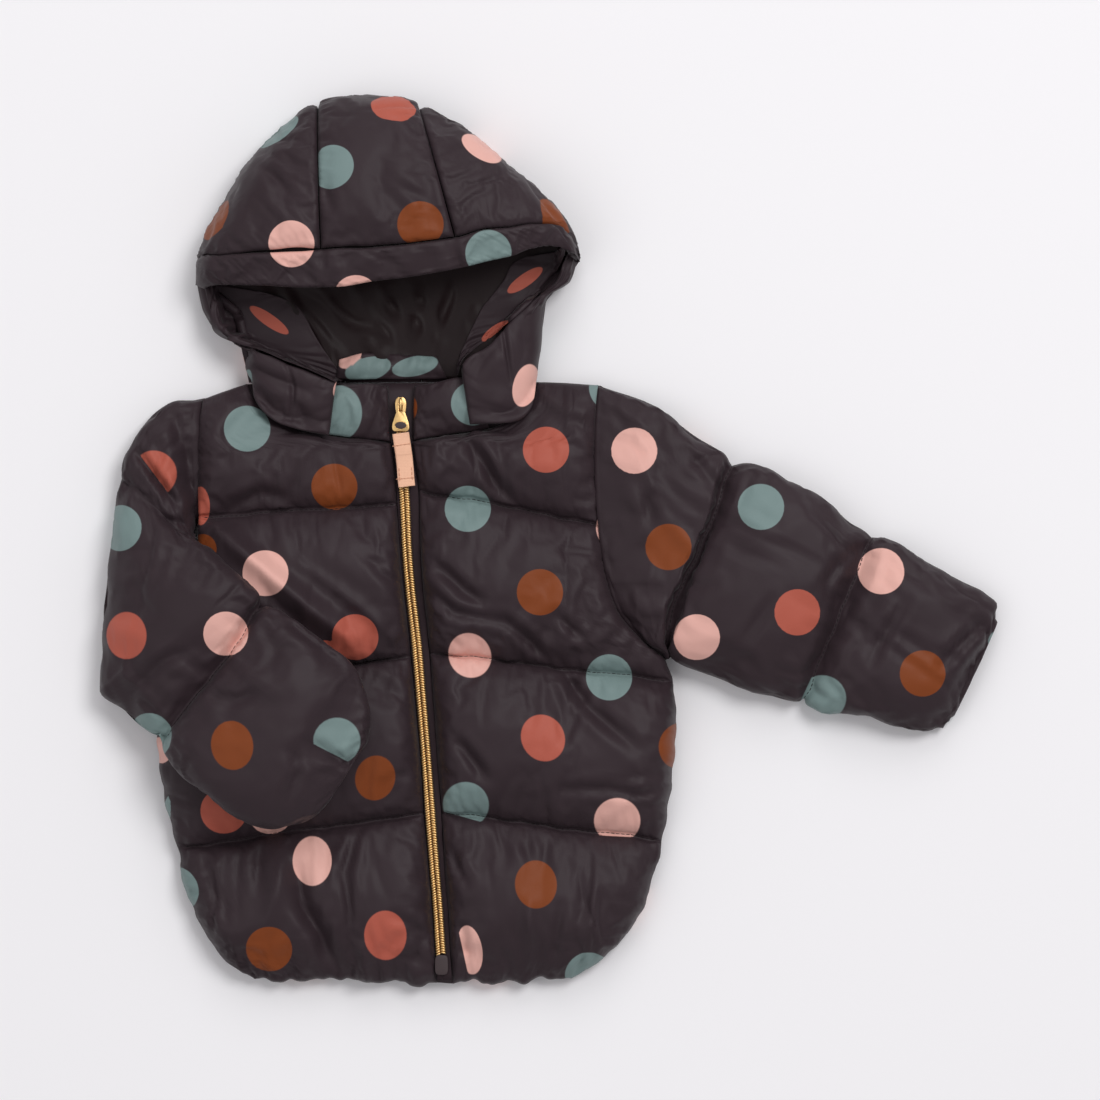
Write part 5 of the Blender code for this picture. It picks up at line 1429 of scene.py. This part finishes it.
def end_caps(rings, ring):
    """The faces that close a tube's first and last rings."""
    return [list(range(ring))[::-1], [(rings - 1) * ring + k for k in range(ring)]]


def beads(name, points, along, across, shape, ring, look, body, slot, *nodes):
    """Small closed forms, one at each point. shape gives stations along it and their size; ring is how
    many corners each has; across is the direction of its width."""
    up = np.cross(along, across)
    angles = np.arange(ring) * 2 * math.pi / ring
    one = tube_faces(len(shape), ring).tolist() + end_caps(len(shape), ring)
    parts, faces = [], []
    for k, (p, a, c, u) in enumerate(zip(points, along, across, up)):
        parts += [p + a * place + (np.cos(angles)[:, None] * c * wide + np.sin(angles)[:, None] * u * tall)
                  for place, wide, tall in shape]
        start = k * len(shape) * ring
        faces += [[corner + start for corner in face] for face in one]
    return hand_over(placed(mesh_from(name, np.concatenate(parts), faces), look), body, slot, *nodes)


STITCH = ((-1.1, 0.05, 0.05), (-0.8, 0.24, 0.2), (0.0, 0.3, 0.26), (0.8, 0.24, 0.2), (1.1, 0.05, 0.05))


# The default look is the dark thread, whose darkness is painted shade of the seam grooves
def stitches(name, path, look="thread_with_painted_groove_shade", body="jacket", spacing=2.9, slot="shell"):
    """A row of stitches lying on a path of points."""
    points, along = even_path(path, spacing)
    side = np.cross(along, (0.0, 0.0, 1.0))
    side /= np.maximum(length(side), 1e-9)[:, None]
    return beads(name, points, along, side, STITCH, 6, look, body, slot)


def strip_grid(path, half_wide, z, thick):
    path = np.asarray(path, float)
    along = np.gradient(path, axis=0)
    along /= length(along)[:, None]
    side = np.stack((-along[:, 1], along[:, 0]), axis=1)
    shares = np.linspace(-1, 1, 9)
    xy = path[:, None] + side[:, None] * (shares * half_wide)[None, :, None]
    crown = 0.12 * thick * (1 - shares**2)[None] + 0 * xy[..., 0]
    return stack(xy, z + thick + crown), stack(xy, z + 0 * crown)


def zip_tapes():
    """Dark cloth between each front's edge and the teeth."""
    downs = np.linspace(38.0, 351.0, 120)
    right, left, middle = zip_line(downs)
    made = []
    for name, start in (("zip_tape_right", right), ("zip_tape_left", left)):
        width = length(middle - start)[:, None]
        share = blend(GAP / width, 1 - 0.2 / width, np.linspace(0, 1, 8)[None])
        xy = blend(start[:, None], middle[:, None], share[..., None])
        low = stack(xy, TAPE_Z + 0 * share)
        top = low + (0, 0, TAPE_THICK)
        made.append((wall(name + "_cloth", top, low, "tape", "jacket", "tape", name), area_of(top)))
    return made


TOOTH_PITCH, TOOTH_FROM_MIDDLE = 1.5, 1.6
# A tooth, and below a stitch: place along it, half width, half height
TOOTH = ((-0.66, 1.0, 0.3), (-0.45, 1.65, 0.75), (0.0, 1.8, 0.98), (0.45, 1.65, 0.75), (0.66, 1.0, 0.3))


def zip_teeth():
    """Two rows of teeth, each leaning a little towards the middle, on the flat core that they close on."""
    middle = zip_line(np.linspace(41.0, 341.0, 200))[2]
    path = [(SLIDER_X, CHAIN_TOP_Y), (SLIDER_X + 0.3, 62.0), *middle]
    points, along = even_path(path, TOOTH_PITCH)
    across = np.stack((along[:, 1], -along[:, 0]), axis=1)
    level, z = np.zeros(len(points)), np.full(len(points), CHAIN_Z + CHAIN_THICK / 2)
    for side, name in ((-1, "zip_teeth_right"), (1, "zip_teeth_left")):
        centre = points + across * side * TOOTH_FROM_MIDDLE + (along * TOOTH_PITCH / 2 if side > 0 else 0)
        lean = along * 0.94 - across * side * 0.34
        flat = np.stack((lean[:, 1], -lean[:, 0]), axis=1)
        beads(name, stack(centre, z), stack(lean, level), stack(flat, level), TOOTH, 8,
              "brass", "jacket", "brass", "zip_chain")
    top, low = strip_grid(points[::4], 2.5, CHAIN_Z + 0.1, 0.75)
    wall("zip_core", top, low, "tape", "jacket", "tape", "zip_chain")


def pull_ribbon():
    """Woven ribbon with its box of stitches at the end."""
    bar_z = CHAIN_Z + CHAIN_THICK + GAP + PLATE_THICK + BRIDGE_TALL - BRIDGE_BAR
    z = bar_z - PIN_CLEAR - PIN_RADIUS - RIBBON_THICK / 2
    start = np.array((SLIDER_X, PULL_Y - ARM_LONG + 0.4 - PULLER_LONG - 2 * GAP))
    share = np.linspace(0, 1, 60)[:, None]
    path = start + share * (RIBBON_LEAN, -RIBBON_LONG)
    path = path + np.stack((0.5 * np.sin(share[:, 0] * 5.0), 0 * share[:, 0]), axis=1) * share
    top, low = strip_grid(path, RIBBON_WIDE / 2, z, RIBBON_THICK)
    sway = 0.16 * np.sin(share * 9.0) * np.sin(share * math.pi) + 0.3 * np.clip((0.42 - share) / 0.02, 0, 1)
    top[..., 2] += sway
    low[..., 2] += sway
    thing = wall("pull_ribbon_cloth", top, low, "ribbon", "pull_tab", "ribbon", "pull_ribbon")
    lines = {"stitches_0": top[50, [0, 7]], "stitches_1": top[13, [0, 7]],
             "side_0": top[40:51, 1], "side_1": top[40:51, 7]}
    made = [stitches("ribbon_" + name, line + (0, 0, 0.12), "pale_thread", "pull_tab", 1.7, "ribbon")
            for name, line in lines.items()]
    return thing, area_of(top), made


def cut_plate(name, outline, low_z, high_z, bevel, look, body, slot, *nodes):
    """A flat metal part from its outline, with its edges rounded."""
    solid = bmesh.new()
    face = solid.faces.new([solid.verts.new((x * MM, y * MM, low_z * MM)) for x, y in outline])
    extruded = bmesh.ops.extrude_face_region(solid, geom=[face])["geom"]
    up = [v for v in extruded if isinstance(v, bmesh.types.BMVert)]
    bmesh.ops.translate(solid, verts=up, vec=(0, 0, (high_z - low_z) * MM))
    bmesh.ops.recalc_face_normals(solid, faces=solid.faces)
    bmesh.ops.bevel(solid, geom=list(solid.edges), offset=bevel * MM, segments=3, affect="EDGES", profile=0.5)
    bmesh.ops.triangulate(solid, faces=[f for f in solid.faces if len(f.verts) > 4])
    mesh = bpy.data.meshes.new(name)
    solid.to_mesh(mesh)
    solid.free()
    thing = placed(mesh, look)
    mesh.set_sharp_from_angle(angle=math.radians(40))
    return hand_over(thing, body, slot, *nodes)


def bar(name, path, wide, tall, across, body, node, closed=False, ring=12):
    """A round or oval bar of brass along a path; across is the direction of its width."""
    path = np.asarray(path, float)
    if closed:
        along = np.roll(path, -1, axis=0) - np.roll(path, 1, axis=0)
    else:
        along = np.gradient(path, axis=0)
    along /= length(along)[:, None]
    side = np.broadcast_to(np.asarray(across, float), path.shape)
    up = np.cross(along, side)
    up /= length(up)[:, None]
    side = np.cross(up, along)
    angles = np.arange(ring) * 2 * math.pi / ring
    rings = (path[:, None] + np.cos(angles)[None, :, None] * side[:, None] * wide / 2
             + np.sin(angles)[None, :, None] * up[:, None] * tall / 2)
    count = len(path) * ring
    if closed:
        faces = (tube_faces(len(path) + 1, ring) % count).tolist()
    else:
        faces = tube_faces(len(path), ring).tolist() + end_caps(len(path), ring)
    return hand_over(placed(mesh_from(name, rings.reshape(-1, 3), faces), "brass"), body, "brass", node)


SLIDER_OUTLINE = ((-1.7, 6.0), (1.7, 6.0), (3.0, 4.6), (3.5, 2.2), (3.3, -0.6), (2.9, -3.2), (2.8, -5.6),
                  (-2.8, -5.6), (-2.9, -3.2), (-3.3, -0.6), (-3.5, 2.2), (-3.0, 4.6))
PULLER_OUTLINE = ((-2.1, 0.5), (-1.85, 0.95), (-1.3, 0.95), (-1.05, 0.5), (-1.05, -4.2), (-0.6, -4.8), (0.6, -4.8),
                  (1.05, -4.2), (1.05, 0.5), (1.3, 0.95), (1.85, 0.95), (2.1, 0.5), (2.2, -4.2), (3.0, -5.6),
                  (5.0, -11.6), (5.2, -13.8), (4.9, -15.2), (4.0, -16.1), (-4.0, -16.1), (-4.9, -15.2), (-5.2, -13.8),
                  (-5.0, -11.6), (-3.0, -5.6), (-2.2, -4.2))


def slider_and_puller():
    """Slider body with its bridge, and the plain pull that hangs on it, its oval left bare."""
    plate_top = CHAIN_Z + CHAIN_THICK + GAP + PLATE_THICK
    cut_plate("slider_body", [(SLIDER_X + x, SLIDER_Y + y) for x, y in SLIDER_OUTLINE],
              CHAIN_Z + 0.4, plate_top, 0.45, "brass", "jacket", "brass", "zip_slider")
    bar_z = plate_top + BRIDGE_TALL - BRIDGE_BAR
    rise = bar_z + BRIDGE_BAR / 2 - plate_top + 0.4
    arch = [(SLIDER_X, PULL_Y - BRIDGE_LONG / 2 * math.cos(t), plate_top - 0.4 + rise * math.sin(t) ** 0.45)
            for t in np.linspace(0, math.pi, 18)]
    bar("slider_bridge", arch, BRIDGE_WIDE, BRIDGE_BAR, (1, 0, 0), "jacket", "zip_slider")
    axis_z = bar_z - PIN_CLEAR - PIN_RADIUS
    top_z = axis_z + PULLER_THICK / 2
    cut_plate("pull_plate", [(SLIDER_X + x, PULL_Y + y) for x, y in PULLER_OUTLINE],
              axis_z - PULLER_THICK / 2, top_z, 0.3, "brass", "pull_tab", "brass", "zip_puller")
    bar("pull_pin", [(SLIDER_X + x, PULL_Y, axis_z) for x in np.linspace(-1.7, 1.7, 8)],
        2 * PIN_RADIUS, 2 * PIN_RADIUS, (0, 1, 0), "pull_tab", "zip_puller")
    oval = [(SLIDER_X + 3.6 * math.cos(t), PULL_Y - 12.6 + 2.3 * math.sin(t), top_z)
            for t in np.linspace(0, 2 * math.pi, 40, endpoint=False)]
    bar("pull_oval", oval, 0.5, 0.45, (0, 0, 1), "pull_tab", "zip_puller", True, 8)
    cut_plate("pull_enamel", [corner[:2] for corner in oval], top_z - 0.1, top_z + 0.12, 0.04,
              "dark_metal", "pull_tab", "stop", "zip_puller")


def end_stop():
    """The clamp at the foot of the zip, with rounded corners."""
    low, high = (np.array(corner) * 1000 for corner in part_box("zip_stop"))
    middle, half = (low + high) / 2, (high - low) / 2
    turns = [(math.cos(t), math.sin(t)) for t in np.linspace(0, 2 * math.pi, 28, endpoint=False)]
    outline = [(middle[0] + half[0] * np.sign(x) * abs(x) ** 0.5, middle[1] + half[1] * np.sign(y) * abs(y) ** 0.5)
               for x, y in turns]
    cut_plate("stop_clamp", outline, low[2], high[2], 0.35, "dark_metal", "jacket", "stop", "zip_stop")


# ---------------------------------------------------------------- the jacket


SEAM_HALF = 0.022  # half of the seams between the hood's panels, on the scale that runs round the hood


def build():
    """Every piece, from the back panel up to the slider and its puller."""
    back_panel()
    front("right_front", 0, 2, RIGHT_FRONT_DOTS, RIGHT_FRONT_CREASES, 100)
    front("left_front", 6, 4, LEFT_FRONT_DOTS, LEFT_FRONT_CREASES, 200)
    left_sleeve()
    right_sleeve()
    hood_panel("hood_right", 0.0, RIGHT_SEAM - SEAM_HALF, (False, True), HOOD_RIGHT_DOTS, 430)
    hood_panel("hood_centre", RIGHT_SEAM + SEAM_HALF, LEFT_SEAM - SEAM_HALF, (True, True), HOOD_CENTRE_DOTS, 460)
    hood_panel("hood_left", LEFT_SEAM + SEAM_HALF, FAN_END, (True, False), HOOD_LEFT_DOTS, 490)
    hood_band()
    hood_lining()
    collar("collar_right", RIGHT_COLLAR, 2, Layers("back_panel"), -1, RIGHT_COLLAR_DOTS, 740)
    collar("collar_left", LEFT_COLLAR, 4, Layers("back_panel"), 0, LEFT_COLLAR_DOTS, 760)
    back_collar(Layers("back_panel", "right_front", "left_front", "hood_lining"))
    under = ("back_panel", "right_front", "left_front", "hood_lining", "collar_back", "collar_right", "collar_left")
    for side, table, spots, folds, seams, edge, inner_spots, waist in (
            ("right", RIGHT_FLANK, RIGHT_WING_DOTS, RIGHT_FLANK_CREASES, RIGHT_WING_SEAMS, RIGHT_FACING_EDGE,
             RIGHT_FACING_DOTS, RIGHT_WAIST),
            ("left", LEFT_FLANK, LEFT_WING_DOTS, LEFT_FLANK_CREASES, LEFT_WING_SEAMS, LEFT_FACING_EDGE,
             LEFT_FACING_DOTS, ())):
        wing = hood_wing(side, table, Layers(*under, "hood_facing_" + side), spots, folds, seams, waist, 660)
        inside = facing(side, table, Layers(*under[:4], wing), edge, inner_spots, 640)
    for tape in zip_tapes():
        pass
    zip_teeth()
    ribbon, area, sewn = pull_ribbon()
    slider_and_puller()
    end_stop()


def finish_cloth():
    """The print and the sewing, laid on the cloth once it is filled."""
    for thing, share, folds in pressed_cloth:
        place = places_of(thing)
        folds = [(deep * CREASE_DEEPER, wide * CREASE_NARROWER, *points) for deep, wide, *points in folds]
        place[:, 2] += MM * share * creases(place[:, 0] * 1000, place[:, 1] * 1000, folds)
        move_points(thing, place)
    for thing, spots, hidden in printed_cloth:
        print_on(thing, spots, hidden)
    # The stitches along the quilting lines take the dark thread, darker than the cloth as painted shade of the
    # grooves
    for name, thing, places in sewing:
        points = np.array([thing.data.vertices[int(i)].co for i in places]) * 1000
        stitches(name, points + (0, 0, 0.2))


FLOOR_COLOUR, SKY_COLOUR, SKY_STRENGTH = (0.86, 0.85, 0.865), (0.97, 0.955, 0.98), 0.46
# Lamps that look at the middle: name, place, size, power
LAMPS = (("key", (1.8, 1.8, 4.2), 2.0, 107.0), ("fill", (-2.6, -0.65, 3.9), 3.6, 31.0),
         ("top", (0.1, 3.5, 2.85), 2.6, 42.0))


def studio():
    """Pale floor, soft light from the upper right and a camera straight above."""
    bpy.ops.mesh.primitive_plane_add(size=8.0, location=(0, 0, 0))
    floor = bpy.context.object
    floor.name = "floor"
    floor.data.materials.append(principled("floor_paper", FLOOR_COLOUR, 0.85)[0])
    for name, place, size, power in LAMPS:
        lamp = bpy.data.lights.new(name, "AREA")
        lamp.shape, lamp.size, lamp.energy = "DISK", size, power
        thing = bpy.data.objects.new(name, lamp)
        thing.location = place
        thing.rotation_euler = (Vector((0, 0, 0)) - Vector(place)).to_track_quat("-Z", "Y").to_euler()
        bpy.context.scene.collection.objects.link(thing)
    world = bpy.data.worlds.new("studio")
    world.use_nodes = True
    world.node_tree.nodes["Background"].inputs["Color"].default_value = (*SKY_COLOUR, 1.0)
    world.node_tree.nodes["Background"].inputs["Strength"].default_value = SKY_STRENGTH
    bpy.context.scene.world = world
    camera = bpy.data.cameras.new("camera")
    camera.lens = 36.0 * CAMERA_HEIGHT / SHOWN_WIDTH
    thing = bpy.data.objects.new("camera", camera)
    thing.location = (0.0, -0.0066, CAMERA_HEIGHT + 0.012)
    bpy.context.scene.collection.objects.link(thing)
    bpy.context.scene.camera = thing
    bpy.context.scene.view_settings.view_transform = "Standard"


build()
fill_with_padding(SIM_FRAMES, SIM_PRESSURE, SIM_SLACK)
finish_cloth()
studio()
